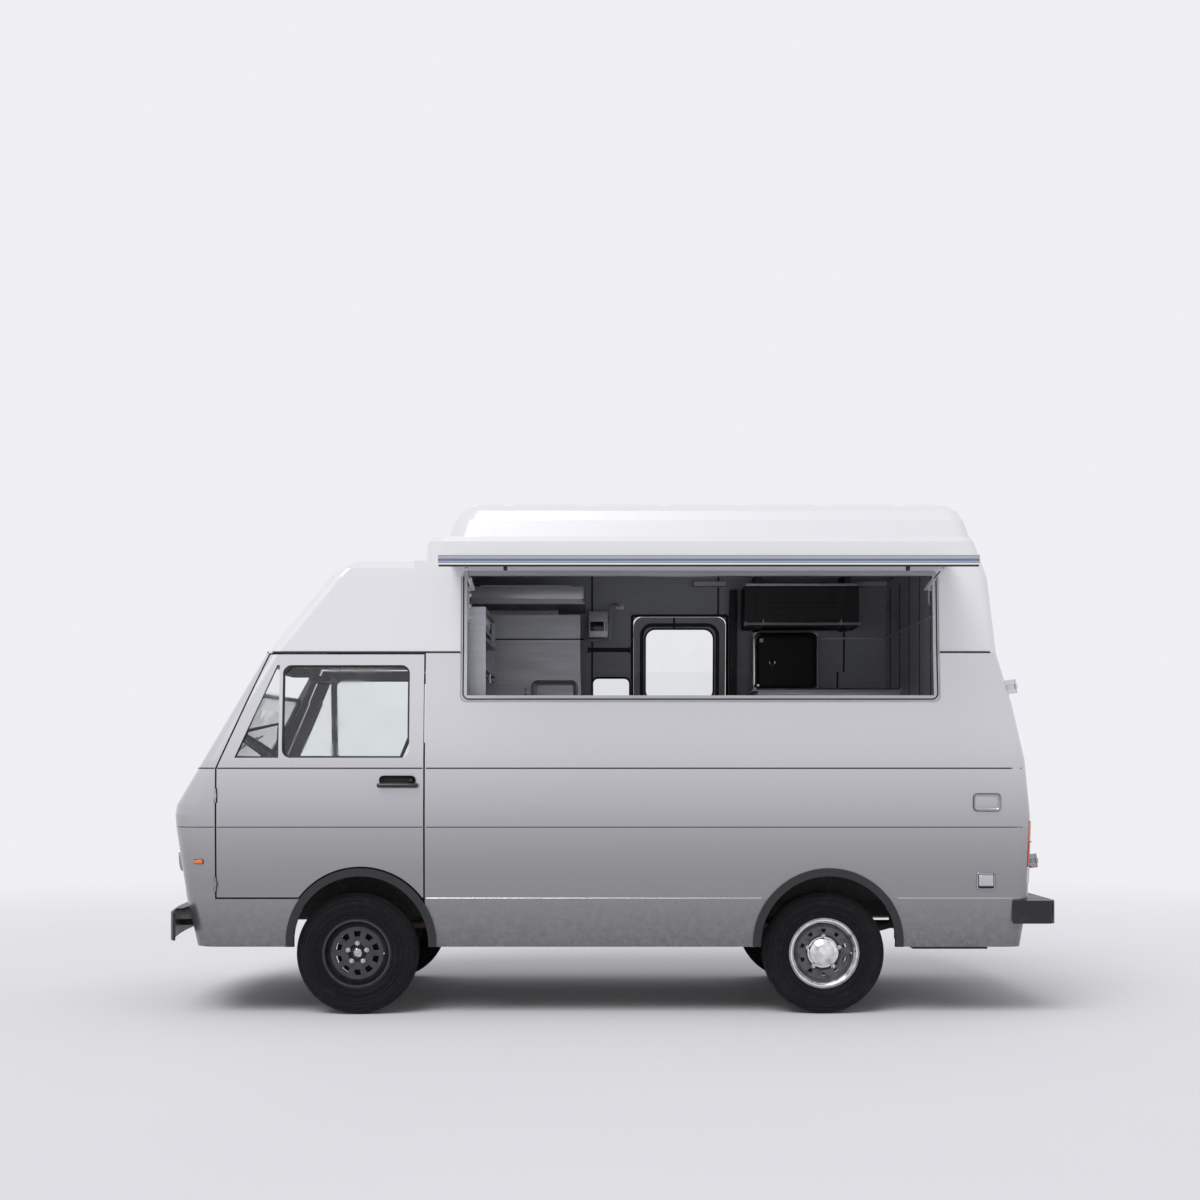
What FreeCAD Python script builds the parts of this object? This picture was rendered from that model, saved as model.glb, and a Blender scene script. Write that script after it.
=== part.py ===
import FreeCAD, Part
import math
import os
import Sketcher

# High-roof panel van fitted out as a street vending truck, with a serving hatch in its left
# side. Millimetres. The nose points to -X, the hatch side is -Y and +Z is up. The origin lies
# on the ground, on the centre plane, halfway between the axles.

V = FreeCAD.Vector
doc = FreeCAD.newDocument("VendingTruck")
sheet = doc.addObject("Spreadsheet::Sheet", "Sizes")

SIZES = [
    ("wheelbase", 2500, "front axle to rear axle"),
    ("front_overhang", 1046, "front axle to the foremost point of the nose"),
    ("rear_overhang", 1090, "rear axle to the rearmost point of the tail"),
    ("half_width", 1010, "centre plane to the widest point of the side"),
    ("track_front", 1700, "between the middles of the front tyres"),
    ("track_rear", 1650, "between the middles of the rear tyres"),
    ("tyre_radius", 325, "outer radius of a tyre"),
    ("tyre_width", 185, "width of a tyre"),
    ("rim_radius", 188, "outer radius of a steel rim"),
    ("rim_width", 150, "width of a steel rim"),
    ("wall", 45, "thickness of a door or a side wall"),
    ("roof_wall", 35, "thickness of the roof moulding"),
    ("glass_depth", 14, "outer skin to the outside of a pane"),
    ("glass_thickness", 6, "thickness of a pane"),
    ("glass_gap", 0.4, "between a pane and its frame"),
    ("door_gap", 9, "shut line round a door or flap"),
    ("seat_gap", 0.4, "between fixed neighbours"),
    ("nose_bow", 70, "how far the nose bows forward in plan"),
    ("nose_round", 140, "plan radius of a front corner"),
    ("screen_round", 80, "plan radius of a windscreen pillar"),
    ("cap_bow", 25, "how far the front of the roof cap bows in plan"),
    ("tail_round", 70, "plan radius of a rear corner"),
    ("sill_height", 365, "ground to the lower edge of the body"),
    ("sill_nose", 110, "nose setback at the sill"),
    ("sill_tuck", 48, "side tuck at the sill"),
    ("sill_tail", 45, "tail setback at the sill"),
    ("fold_low_rise", 261, "sill to the lower body line"),
    ("fold_low_nose", 60, "nose setback at the lower body line"),
    ("fold_low_tuck", 10, "side tuck at the lower body line"),
    ("fold_low_tail", 10, "tail setback at the lower body line"),
    ("fold_high_rise", 377, "lower body line to the upper body line"),
    ("fold_high_nose", 5, "nose setback at the upper body line"),
    ("brow_rise", 64, "upper body line to the foremost point"),
    ("brow_top_rise", 53, "foremost point to the start of the slope"),
    ("brow_top_nose", 9, "nose setback at the start of the slope"),
    ("brow_top_tuck", 1, "side tuck at the start of the slope"),
    ("brow_top_tail", 4, "tail setback at the start of the slope"),
    ("slope_rise", 50, "start of the slope to its steady part"),
    ("slope_nose", 38, "nose setback where the slope steadies"),
    ("slope_tuck", 3, "side tuck where the slope steadies"),
    ("slope_tail", 9, "tail setback where the slope steadies"),
    ("screen_rise", 188, "steady slope to the windscreen base"),
    ("screen_nose", 160, "nose setback at the windscreen base"),
    ("screen_tuck", 9, "side tuck at the windscreen base"),
    ("screen_tail", 26, "tail setback at the windscreen base"),
    ("waist_rise", 300, "windscreen base to half-way up the glass"),
    ("waist_nose", 332, "nose setback half-way up the glass"),
    ("waist_tuck", 37, "side tuck half-way up the glass"),
    ("waist_tail", 88, "tail setback half-way up the glass"),
    ("seam_rise", 272, "half-way up the glass to the roof seam"),
    ("seam_nose", 488, "nose setback at the roof seam"),
    ("seam_tuck", 70, "side tuck at the roof seam"),
    ("seam_tail", 165, "tail setback at the roof seam"),
    ("shoulder_rise", 410, "roof seam to the shoulder of the cab roof"),
    ("shoulder_nose", 822, "nose setback at the shoulder"),
    ("shoulder_tuck", 95, "side tuck at the shoulder"),
    ("shoulder_tail", 209, "tail setback at the shoulder"),
    ("crest_rise", 45, "shoulder to the crest of the cab roof"),
    ("crest_nose", 872, "nose setback at the crest"),
    ("cab_top_nose", 960, "nose setback of the flat cab roof"),
    ("step_rise", 40, "crest to the top of the cab roof"),
    ("step_nose", 1350, "nose setback of the step behind the cab roof"),
    ("ledge_rise", 105, "foot of the step to the edge of the ledge"),
    ("ledge_top_nose", 18, "step back to the top of the ledge"),
    ("cab_roof_bevel", 45, "bevel along the sides of the cab roof"),
    ("ledge_tuck", 112, "side tuck at the edge of the ledge"),
    ("ledge_tail", 275, "tail setback at the edge of the ledge"),
    ("ledge_round", 28, "rise of the rounded edge of the ledge"),
    ("ledge_top_tuck", 130, "side tuck at the top of the ledge"),
    ("ledge_top_tail", 290, "tail setback at the top of the ledge"),
    ("cap_nose", 1499, "nose setback at the foot of the roof cap"),
    ("cap_tuck", 140, "side tuck at the foot of the roof cap"),
    ("cap_tail", 294, "tail setback at the foot of the roof cap"),
    ("cap_low_rise", 92, "foot of the cap to its lower bend"),
    ("cap_low_inset", 26, "inset at the lower bend of the cap"),
    ("cap_mid_rise", 55, "lower bend to the middle bend of the cap"),
    ("cap_mid_inset", 55, "inset at the middle bend of the cap"),
    ("cap_high_rise", 35, "middle bend to the upper bend of the cap"),
    ("cap_high_inset", 98, "inset at the upper bend of the cap"),
    ("cap_top_rise", 17, "upper bend to the top of the cap"),
    ("cap_top_inset", 158, "inset at the top of the cap"),
    ("belt_drop", 44, "windscreen base down to the belt line"),
    ("cab_door_lead", 735, "front axle forward to the front edge of a cab door"),
    ("cab_door_trail", 368, "front axle back to the rear edge of a cab door"),
    ("arch_radius", 400, "outer radius of a wheel arch lip"),
    ("arch_lip", 42, "width of a wheel arch lip"),
    ("arch_flare", 12, "how far a lip stands out from the side"),
    ("arch_height", 385, "ground to the centre of a wheel arch"),
    ("arch_shift", 30, "front axle back to the centre of its arch"),
    ("hatch_lead", 198, "rear edge of the cab door back to the hatch opening"),
    ("hatch_trail", 601, "rear axle back to the end of the hatch opening"),
    ("hatch_low", 254, "roof seam down to the foot of the hatch opening"),
    ("hatch_high", 440, "roof seam up to the head of the hatch opening"),
    ("hatch_corner", 28, "corner radius of the hatch opening"),
    ("hatch_rim", 26, "width of the frame round the hatch opening"),
    ("flap_overlap", 60, "how far the flap covers the side beyond the opening"),
    ("flap_hinge_rise", 38, "head of the hatch opening up to the flap hinge"),
    ("flap_thickness", 34, "thickness of the serving flap"),
    ("flap_open_drop", 7, "degrees that the open flap falls outwards"),
    ("flap_stand_off", 12, "outer skin to the inner face of the closed flap"),
    ("pillar_width", 96, "windscreen header back to the front edge of the cab door"),
    ("rear_arch_shift", 13, "rear axle back to the centre of its arch"),
    ("rear_door_half", 880, "centre plane to the outer edge of a rear door"),
    ("rear_door_rise", 20, "lower body line up to the foot of the rear doors"),
    ("rear_door_meet", 11, "gap between the two rear doors"),
    ("rear_pillar_depth", 300, "depth of the body counted as its tail"),
    ("door_reach", 780, "centre plane to the innermost edge of a cab door"),
    ("cab_pane_rise", 12, "windscreen base up to the foot of the cab windows"),
    ("cab_pane_drop", 66, "roof seam down to the head of the cab windows"),
    ("cab_post_trail", 66, "top of the door edge back to the quarter light post"),
    ("cab_post_width", 18, "width of the quarter light post"),
    ("quarter_top", 14, "width of the quarter light at its head"),
    ("cab_pane_trail", 80, "rear edge of the cab door forward to its window"),
    ("pane_corner", 45, "corner radius of the windows"),
    ("screen_margin", 22, "windscreen base up to the foot of the glass"),
    ("screen_header", 44, "roof seam down to the head of the windscreen"),
    ("screen_half_foot", 850, "half width of the windscreen at its foot"),
    ("screen_half_head", 800, "half width of the windscreen at its head"),
    ("flap_half", 600, "half width of the service flap"),
    ("service_margin", 22, "margin above and below the service flap"),
    ("service_thickness", 26, "thickness of the service flap"),
    ("grille_half", 720, "half width of the grille opening"),
    ("grille_rise", 84, "lower body line up to the grille"),
    ("grille_drop", 40, "upper body line down to the grille"),
    ("grille_corner", 20, "corner radius of the grille opening"),
    ("side_door_lead", 990, "rear axle forward to the entrance door"),
    ("side_door_width", 590, "width of the entrance door"),
    ("side_door_rise", 18, "lower body line up to the entrance door"),
    ("side_door_head", 350, "roof seam up to the head of the entrance door"),
    ("side_door_corner", 60, "corner radius of the entrance door"),
    ("side_pane_margin", 72, "edge of the entrance door to its window"),
    ("side_pane_head", 278, "roof seam up to the head of the entrance door window"),
    ("side_pane_height", 464, "height of the entrance door window"),
    ("side_pane_corner", 70, "corner radius of the entrance door window"),
    ("side_window_gap", 12, "entrance door forward to the small window"),
    ("side_window_width", 254, "width of the small window"),
    ("side_window_height", 250, "height of the small window"),
    ("side_window_drop", 30, "roof seam down to the small window"),
    ("cap_groove_round", 75, "radius of the grooves across the roof cap"),
    ("cap_groove_depth", 20, "depth of the grooves across the roof cap"),
    ("cap_groove_count", 6, "number of grooves across the roof cap"),
    ("cap_groove_first", 1850, "nose back to the first groove"),
    ("cap_groove_pitch", 425, "distance between the grooves"),
    ("rim_lip", 12, "rim edge down to its bead shelf"),
    ("rim_skin", 4, "sheet thickness of the rim"),
    ("bead_gap", 0.3, "between the tyre bead and the rim"),
    ("tyre_shoulder", 22, "round-off at the tread edge"),
    ("disc_depth", 44, "middle of the rim out to the face of its disc"),
    ("disc_skin", 6, "thickness of the wheel disc"),
    ("disc_dish", 22, "depth of the dish in the wheel disc"),
    ("disc_shoulder", 140, "radius of the raised ring of the wheel disc"),
    ("hub_margin", 6, "flat hub seat left outside the cap"),
    ("hub_slope", 12, "run of the slope round the hub seat"),
    ("front_windows", 10, "number of windows in a front rim"),
    ("front_window_radius", 103, "hub to the middle of a front rim window"),
    ("front_window_width", 40, "width of a front rim window"),
    ("front_window_height", 30, "height of a front rim window"),
    ("front_cap_radius", 31, "radius of the cap on a front hub"),
    ("front_cap_height", 26, "height of the cap on a front hub"),
    ("rear_windows", 10, "number of windows in a rear rim"),
    ("rear_window_radius", 118, "hub to the middle of a rear rim window"),
    ("rear_window_width", 26, "width of a rear rim window"),
    ("rear_window_height", 20, "height of a rear rim window"),
    ("rear_cap_radius", 78, "radius of the cap on a rear hub"),
    ("rear_cap_height", 48, "height of the cap on a rear hub"),
    ("floor_skin", 22, "thickness of the floor and the wheel boxes"),
    ("floor_height", 618, "ground to the top of the load floor"),
    ("floor_front", 206, "nose back to the front edge of the floor"),
    ("floor_back", 110, "tail forward to the rear edge of the floor"),
    ("rail_width", 70, "width of a chassis rail"),
    ("rail_height", 105, "height of a chassis rail"),
    ("rail_offset", 470, "centre plane to the middle of a rail"),
    ("front_box_inner", 575, "centre plane to the wall of a front wheel box"),
    ("front_box_reach", 430, "front axle to the end walls of its wheel boxes"),
    ("rear_box_inner", 690, "centre plane to the wall of a rear wheel box"),
    ("rear_box_reach", 430, "rear axle to the end walls of its wheel boxes"),
    ("box_headroom", 15, "arch top up to the lid of a wheel box"),
    ("cover_half", 330, "half width of the engine cover"),
    ("cover_lead", 640, "front axle forward to the front of the engine cover"),
    ("cover_trail", 120, "front axle back to the end of the engine cover"),
    ("cover_height", 300, "height of the engine cover above the floor"),
    ("knuckle_height", 246, "distance between the suspension arms"),
    ("knuckle_gap", 0.5, "between a knuckle and its arms"),
    ("kingpin_inset", 78, "middle of a front tyre in to its steering axis"),
    ("kingpin_radius", 26, "radius of a knuckle post"),
    ("stub_radius", 24, "radius of a stub axle"),
    ("brake_radius", 120, "radius of a front brake disc"),
    ("arm_thickness", 18, "thickness of a suspension arm"),
    ("axle_tube_radius", 42, "radius of the rear axle tube"),
    ("differential_radius", 125, "radius of the differential housing"),
    ("differential_chamfer", 32, "slope round both ends of the differential housing"),
    ("drum_radius", 122, "radius of a rear brake drum"),
    ("shaft_radius", 36, "radius of the propeller shaft"),
    ("spring_reach", 440, "rear axle to the end of a leaf spring"),
    ("spring_thickness", 34, "thickness of a leaf spring pack"),
    ("spring_width", 62, "width of a leaf spring"),
    ("bumper_height", 150, "height of the front bumper"),
    ("bumper_stand", 77, "how far the front bumper stands off the nose"),
    ("bumper_skin", 12, "thickness of a bumper"),
    ("bumper_wrap", 215, "nose back to the ends of the front bumper"),
    ("front_bumper_low", 400, "ground to the lower edge of the front bumper"),
    ("bumper_arm_offset", 460, "centre plane to the arms that carry a bumper"),
    ("rear_bumper_low", 492, "ground to the lower edge of the rear bumper"),
    ("rear_bumper_height", 122, "height of the rear bumper"),
    ("rear_bumper_reach", 126, "how far the rear bumper stands off the tail"),
    ("rim_stand", 4, "how far the hatch frame stands out from the side"),
    ("hinge_radius", 9, "radius of the hinge bar of the flap"),
    ("flap_hinge_gap", 0.5, "between the flap and its hinge bar"),
    ("flap_rim", 55, "width of the solid edge of the flap"),
    ("drip_lip", 14, "depth of the lip along the free edge of the flap"),
    ("drip_width", 16, "thickness of the lip along the free edge of the flap"),
    ("strut_inset", 26, "hatch frame in to the middle of a strut"),
    ("strut_eye_in", 24, "closed flap hinge line in to the strut pivot of the flap"),
    ("strut_arm", 420, "flap hinge down to its strut pivot"),
    ("strut_wall_in", 42, "flap hinge in to the strut pivot of the body"),
    ("strut_wall_drop", 130, "flap hinge down to the strut pivot of the body"),
    ("strut_ear_width", 22, "width of a strut pivot"),
    ("strut_pin_radius", 4, "radius of a strut pin"),
    ("strut_radius", 11, "radius of a strut cylinder"),
    ("strut_rod_radius", 5, "radius of a strut rod"),
    ("strut_eye_radius", 10, "radius of the eye at the end of a strut"),
    ("strut_clearance", 0.5, "play round a strut pin or rod"),
    ("strut_barrel", 235, "length of a strut cylinder from its pin"),
    ("strut_lap", 40, "rod left inside the cylinder of an open strut"),
    ("grille_depth", 5, "how far the grille lies under the skin"),
    ("grille_skin", 24, "depth of the grille"),
    ("grille_border", 16, "width of the grille border"),
    ("grille_slots", 7, "rows of slots in the grille"),
    ("grille_slat", 13, "height of a grille slat"),
    ("grille_rib", 10, "width of an upright rib of the grille"),
    ("grille_rib_pitch", 340, "greatest distance between upright ribs"),
    ("headlamp_offset", 560, "centre plane to the middle of a headlamp"),
    ("headlamp_radius", 92, "radius of a headlamp"),
    ("headlamp_bezel", 14, "width of the ring round a headlamp"),
    ("headlamp_depth", 66, "depth of a headlamp behind its face"),
    ("headlamp_dome", 16, "bulge of a headlamp lens"),
    ("turn_lamp_offset", 700, "centre plane to the middle of a front turn lamp"),
    ("turn_lamp_width", 150, "width of a front turn lamp"),
    ("turn_lamp_height", 62, "height of a front turn lamp"),
    ("turn_lamp_drop", 30, "lower body line down to the foot of a turn lamp"),
    ("tail_lamp_rise", 60, "foot of the rear doors up to the tail lamps"),
    ("tail_lamp_gap", 22, "rear door edge out to a tail lamp"),
    ("tail_lamp_width", 80, "width of a tail lamp"),
    ("tail_lamp_height", 330, "height of a tail lamp"),
    ("tail_lamp_proud", 5, "how far a tail lamp stands out"),
    ("hinge_knuckle", 9, "radius of a door hinge knuckle"),
    ("hinge_pin", 4, "radius of a door hinge pin"),
    ("hinge_play", 0.3, "play round a hinge pin and beside a knuckle"),
    ("hinge_length", 75, "length of a door hinge"),
    ("hinge_room", 2, "recess left round a hinge knuckle"),
    ("hinge_strap", 5, "thickness of a hinge strap"),
    ("hinge_sink", 20, "how far a hinge strap runs into a door or panel"),
    ("hinge_end_gap", 175, "end of a rear door to the middle of its hinge"),
    ("rear_hinge_stand", 55, "tail skin out to the line of the rear hinges"),
    ("side_hinge_end_gap", 110, "end of the entrance door to the middle of its hinge"),
    ("side_hinge_stand", 45, "side skin out to the line of the entrance door hinges"),
    ("cab_hinge_stand", 2, "widest line of the side out to the cab door hinges"),
    ("cab_hinge_rise", 75, "lower body line up to the lower cab door hinge"),
    ("flap_hinge_stand", 14, "nose skin out to the line of the service flap hinges"),
    ("engine_height", 420, "height of the engine block"),
    ("tank_front", -420, "middle of the wheelbase to the front of the tank"),
    ("tank_length", 760, "length of the fuel tank"),
    ("tank_width", 370, "width of the fuel tank"),
    ("tank_height", 155, "height of the fuel tank"),
    ("exhaust_radius", 24, "radius of the exhaust pipe"),
    ("exhaust_offset", 300, "centre plane to the exhaust pipe"),
    ("exhaust_height", 430, "ground to the middle of the exhaust pipe"),
    ("tailpipe_gap", 25, "end of the exhaust pipe to the tail panel"),
    ("hanger_lead", 200, "end of the exhaust pipe forward to its hanger"),
    ("muffler_front", -100, "middle of the wheelbase to the front of the muffler"),
    ("muffler_length", 560, "length of the muffler"),
    ("muffler_radius", 85, "radius of the muffler"),
    ("cradle_lead", 480, "rear axle back to the spare wheel cradle"),
    ("cradle_length", 400, "length of the cradle"),
    ("cradle_width", 620, "width of the cradle"),
    ("cradle_offset", 560, "centre plane to the middle of the cradle"),
    ("cradle_low", 345, "ground to the foot of the cradle"),
    ("cradle_depth", 46, "depth of the cradle"),
    ("partition_thickness", 22, "thickness of a partition board"),
    ("partition_back", 90, "rear edge of the cab door back to the cab partition"),
    ("partition_trail", 14, "hatch opening back to the rear partition"),
    ("partition_clear", 0.6, "between a partition and the side walls"),
    ("unit_clear", 1, "between a kitchen unit and the side wall"),
    ("unit_skin", 16, "thickness of a shelf or worktop"),
    ("cabinet_depth", 560, "depth of the tall cabinet"),
    ("cabinet_width", 700, "width of the tall cabinet"),
    ("cabinet_top", 2240, "ground to the top of the tall cabinet"),
    ("cabinet_split", 2060, "ground to the gap across the cabinet front"),
    ("hood_rise", 56, "top of the cabinet up to the hood"),
    ("hood_height", 110, "height of the hood"),
    ("hood_reach", 130, "how far the hood stands in front of the cabinet"),
    ("rack_depth", 200, "depth of the wall rack"),
    ("rack_near", 780, "centre plane to the near end of the wall rack"),
    ("rack_width", 900, "width of the wall rack"),
    ("rack_low", 1690, "ground to the foot of the wall rack"),
    ("rack_height", 500, "height of the wall rack"),
    ("rack_bays", 3, "number of bays in the wall rack"),
    ("counter_length", 860, "length of the far counter"),
    ("counter_depth", 560, "depth of the far counter"),
    ("counter_top", 1800, "ground to the top of the far counter"),
    ("locker_width", 400, "width of the locker on the counter"),
    ("locker_depth", 240, "depth of the locker"),
    ("locker_height", 360, "height of the locker"),
    ("high_unit_low", 2190, "ground to the foot of the high unit"),
    ("high_unit_height", 250, "height of the high unit"),
    ("high_unit_width", 700, "width of the high unit"),
    ("high_unit_depth", 330, "depth of the high unit"),
    ("high_unit_lead", 60, "far counter forward to the high unit"),
    ("high_unit_strap", 36, "width of the straps of the high unit"),
    ("high_unit_slots", 5, "number of vent slots in the high unit"),
    ("lamp_first", 640, "middle of the wheelbase to the first wall lamp"),
    ("lamp_pitch", 1014, "distance between the wall lamps"),
    ("lamp_length", 204, "length of a wall lamp"),
    ("lamp_depth", 70, "how far a wall lamp stands off the wall"),
    ("lamp_height", 28, "height of a wall lamp"),
    ("lamp_drop", 36, "edge of the roof down to the top of a wall lamp"),
    ("dash_back", 230, "nose back to the front of the dashboard"),
    ("dash_low", 1010, "ground to the foot of the dashboard"),
    ("dash_clear", 8, "between the ends of the dashboard and the cab doors"),
    ("wheel_offset", 480, "centre plane to the steering column"),
    ("column_tilt", 55, "tilt of the steering column in degrees"),
    ("column_length", 190, "dashboard to the steering wheel"),
    ("steering_radius", 205, "radius of the steering wheel"),
    ("steering_grip", 13, "radius of the steering wheel rim"),
    ("chair_outer", 840, "centre plane to the outer side of a chair"),
    ("chair_gap", 40, "cab partition forward to the chair backs"),
    ("chair_length", 600, "length of a chair from its front edge to its back"),
    ("chair_depth", 130, "thickness of a chair cushion"),
    ("chair_back", 680, "height of a chair back"),
]


def fill_sheet():
    """Write each size as an aliased cell, with its meaning beside it."""
    for row, (alias, value, meaning) in enumerate(SIZES, start=1):
        sheet.set("A%d" % row, alias)
        sheet.set("B%d" % row, str(value))
        sheet.set("C%d" % row, meaning)
        sheet.setAlias("B%d" % row, alias)
    doc.recompute()


fill_sheet()


def size(alias):
    """A size from the sheet, in millimetres or degrees."""
    return float(sheet.get(alias))


def sum_of(*aliases):
    """Several sizes added up."""
    return sum(size(alias) for alias in aliases)


# Places that several pieces share, worked out from the sheet
front_axle = -size("wheelbase") / 2
rear_axle = size("wheelbase") / 2
nose_x = front_axle - size("front_overhang")
tail_x = rear_axle + size("rear_overhang")
wall = size("wall")
roof_wall = size("roof_wall")
shut = size("door_gap")
seat = size("seat_gap")

z_sill = size("sill_height")
z_fold_low = z_sill + size("fold_low_rise")
z_fold_high = z_fold_low + size("fold_high_rise")
z_brow = z_fold_high + size("brow_rise")
z_brow_top = z_brow + size("brow_top_rise")
z_slope = z_brow_top + size("slope_rise")
z_screen = z_slope + size("screen_rise")
z_waist = z_screen + size("waist_rise")
z_seam = z_waist + size("seam_rise")
z_shoulder = z_seam + size("shoulder_rise")
z_crest = z_shoulder + size("crest_rise")
z_step = z_crest + size("step_rise")
z_edge = z_step + size("ledge_rise")
z_ledge = z_edge + size("ledge_round")
z_belt = z_screen - size("belt_drop")

door_front = front_axle - size("cab_door_lead")
door_rear = front_axle + size("cab_door_trail")
hatch_front = door_rear + size("hatch_lead")
hatch_rear = rear_axle + size("hatch_trail")
z_hatch_low = z_seam - size("hatch_low")
z_hatch_high = z_seam + size("hatch_high")
FAR = 4000.0


def keep(label, shape):
    """Add a sub-part whose form is made from lofts and cuts of the body surface."""
    piece = doc.addObject("Part::Feature", label)
    piece.Label = label
    piece.Shape = shape
    piece.Placement = shape.Placement
    return piece


def mirrored(shape):
    """The same shape on the other side of the centre plane."""
    return shape.mirror(V(0, 0, 0), V(0, 1, 0))


def block(x_from, x_to, y_from, y_to, z_from, z_to):
    """Upright block between two corners."""
    return Part.makeBox(x_to - x_from, y_to - y_from, z_to - z_from, V(x_from, y_from, z_from))


def rod(radius, start, end):
    """Round bar from one point to another."""
    run = end - start
    return Part.makeCylinder(radius, run.Length, start, run)


def side_plate(points, y_from, y_to):
    """Plate with an outline in side view, between two distances from the centre plane."""
    corners = [V(x, y_from, z) for x, z in points]
    face = Part.Face(Part.makePolygon(corners + corners[:1]))
    return face.extrude(V(0, y_to - y_from, 0))


def end_plate(points, x_from, x_to):
    """Plate with an outline in end view, between two places along the body."""
    corners = [V(x_from, y, z) for y, z in points]
    face = Part.Face(Part.makePolygon(corners + corners[:1]))
    return face.extrude(V(x_to - x_from, 0, 0))


def rounded(solid, radius, axis):
    """Round the edges of a solid that run along one axis."""
    edges = []
    for edge in solid.Edges:
        run = (edge.Vertexes[-1].Point - edge.Vertexes[0].Point)
        if run.Length > 0 and abs(abs(run.normalize().dot(axis)) - 1) < 1e-6:
            edges.append(edge)
    return solid.makeFillet(radius, edges)


def plan_ring(height, nose, tuck, tail, corner, bow, inset):
    """Plan outline of the body at one height: bowed nose, flat sides and four round corners."""
    front = nose_x + nose + inset
    half = size("half_width") - tuck - inset
    rear = tail_x - tail - inset
    front_round = max(corner - inset, wall / 2)
    tail_round = max(size("tail_round") - inset, wall / 2)
    bend = math.sin(math.radians(45))
    front_mid = front_round * (1 - bend)
    tail_mid = tail_round * (1 - bend)
    side = front + bow
    inner = half - front_round
    left_nose = V(side, -inner, height)
    right_nose = V(side, inner, height)
    right_front = V(side + front_round, half, height)
    right_rear = V(rear - tail_round, half, height)
    right_tail = V(rear, half - tail_round, height)
    left_tail = V(rear, -half + tail_round, height)
    left_rear = V(rear - tail_round, -half, height)
    left_front = V(side + front_round, -half, height)
    edges = [
        Part.Arc(left_nose, V(front, 0, height), right_nose).toShape(),
        Part.Arc(right_nose, V(side + front_mid, half - front_mid, height), right_front).toShape(),
        Part.makeLine(right_front, right_rear),
        Part.Arc(right_rear, V(rear - tail_mid, half - tail_mid, height), right_tail).toShape(),
        Part.makeLine(right_tail, left_tail),
        Part.Arc(left_tail, V(rear - tail_mid, -half + tail_mid, height), left_rear).toShape(),
        Part.makeLine(left_rear, left_front),
        Part.Arc(left_front, V(side + front_mid, -half + front_mid, height), left_nose).toShape(),
    ]
    return Part.Wire(edges)


def stacked(levels, inset, margin=0.0):
    """Solid through plan outlines; margin stretches it below its foot and above its top."""
    rings = []
    last = len(levels) - 1
    for index, (height, nose, tuck, tail, corner, bow) in enumerate(levels):
        if index == 0:
            height -= margin
        if index == last:
            height += margin
        rings.append(plan_ring(height, nose, tuck, tail, corner, bow, inset))
    return Part.makeLoft(rings, True, True)


def body_levels():
    """Plan outlines of the body from the sill up to the roof seam."""
    bow = size("nose_bow")
    broad = size("nose_round")
    slim = size("screen_round")
    return [
        (z_sill, size("sill_nose"), size("sill_tuck"), size("sill_tail"), broad, bow),
        (z_fold_low, size("fold_low_nose"), size("fold_low_tuck"), size("fold_low_tail"), broad, bow),
        (z_fold_high, size("fold_high_nose"), 0, 0, broad, bow),
        (z_brow, 0, 0, 0, broad, bow),
        (z_brow_top, size("brow_top_nose"), size("brow_top_tuck"), size("brow_top_tail"), broad, bow),
        (z_slope, size("slope_nose"), size("slope_tuck"), size("slope_tail"), broad, bow),
        (z_screen, size("screen_nose"), size("screen_tuck"), size("screen_tail"), slim, bow),
        (z_waist, size("waist_nose"), size("waist_tuck"), size("waist_tail"), slim, bow),
        (z_seam, size("seam_nose"), size("seam_tuck"), size("seam_tail"), slim, bow),
    ]


def between(low, high, share):
    """Value part of the way from one number to another."""
    return low + (high - low) * share


def roof_level(height, nose):
    """Plan outline of the roof moulding between its shoulder and its ledge."""
    share = (height - z_shoulder) / (z_edge - z_shoulder)
    tuck = between(size("shoulder_tuck"), size("ledge_tuck"), share)
    tail = between(size("shoulder_tail"), size("ledge_tail"), share)
    return (height, nose, tuck, tail, size("screen_round"), size("nose_bow"))


def cab_roof_levels(drop):
    """Plan outlines of the cab ramp and cab roof; drop lowers the roof for the inside."""
    slim = size("screen_round")
    foot = (z_seam, size("seam_nose"), size("seam_tuck"), size("seam_tail"), slim, size("nose_bow"))
    return [
        foot,
        roof_level(z_shoulder, size("shoulder_nose")),
        roof_level(z_crest - drop / 2, size("crest_nose")),
        roof_level(z_step - drop, size("cab_top_nose")),
    ]


def load_roof_levels():
    """Plan outlines of the taller roof behind the cab, up to the ledge that carries the cap."""
    step = size("step_nose")
    top = (z_ledge, step + size("ledge_top_nose"), size("ledge_top_tuck"), size("ledge_top_tail"),
           size("screen_round"), size("nose_bow"))
    return [roof_level(z_shoulder, step), roof_level(z_edge, step), top]


def roof_solid(inset, drop, margin):
    """Whole roof moulding as one solid, or its inside when it is inset and dropped."""
    low = stacked(cab_roof_levels(drop), inset, 0.0)
    if margin:
        low = low.fuse(stacked([cab_roof_levels(drop)[0]] * 2, inset, margin))
    high = stacked(load_roof_levels(), inset, 0.0)
    if margin:
        high = high.fuse(stacked([load_roof_levels()[-1]] * 2, inset, margin))
    return low.fuse(high).removeSplitter()


def cap_levels(drop):
    """Plan outlines of the raised roof cap; drop lowers its top for the inside."""
    bow = size("cap_bow")
    corner = size("nose_round")
    levels = [(z_ledge, size("cap_nose"), size("cap_tuck"), size("cap_tail"), corner, bow)]
    height = z_ledge
    for bend in ("cap_low", "cap_mid", "cap_high", "cap_top"):
        height += size(bend + "_rise")
        inset = size(bend + "_inset")
        fall = drop if bend in ("cap_high", "cap_top") else drop / 2
        levels.append((height - fall, size("cap_nose") + inset, size("cap_tuck") + inset,
                       size("cap_tail") + inset, corner, bow))
    return levels


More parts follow.
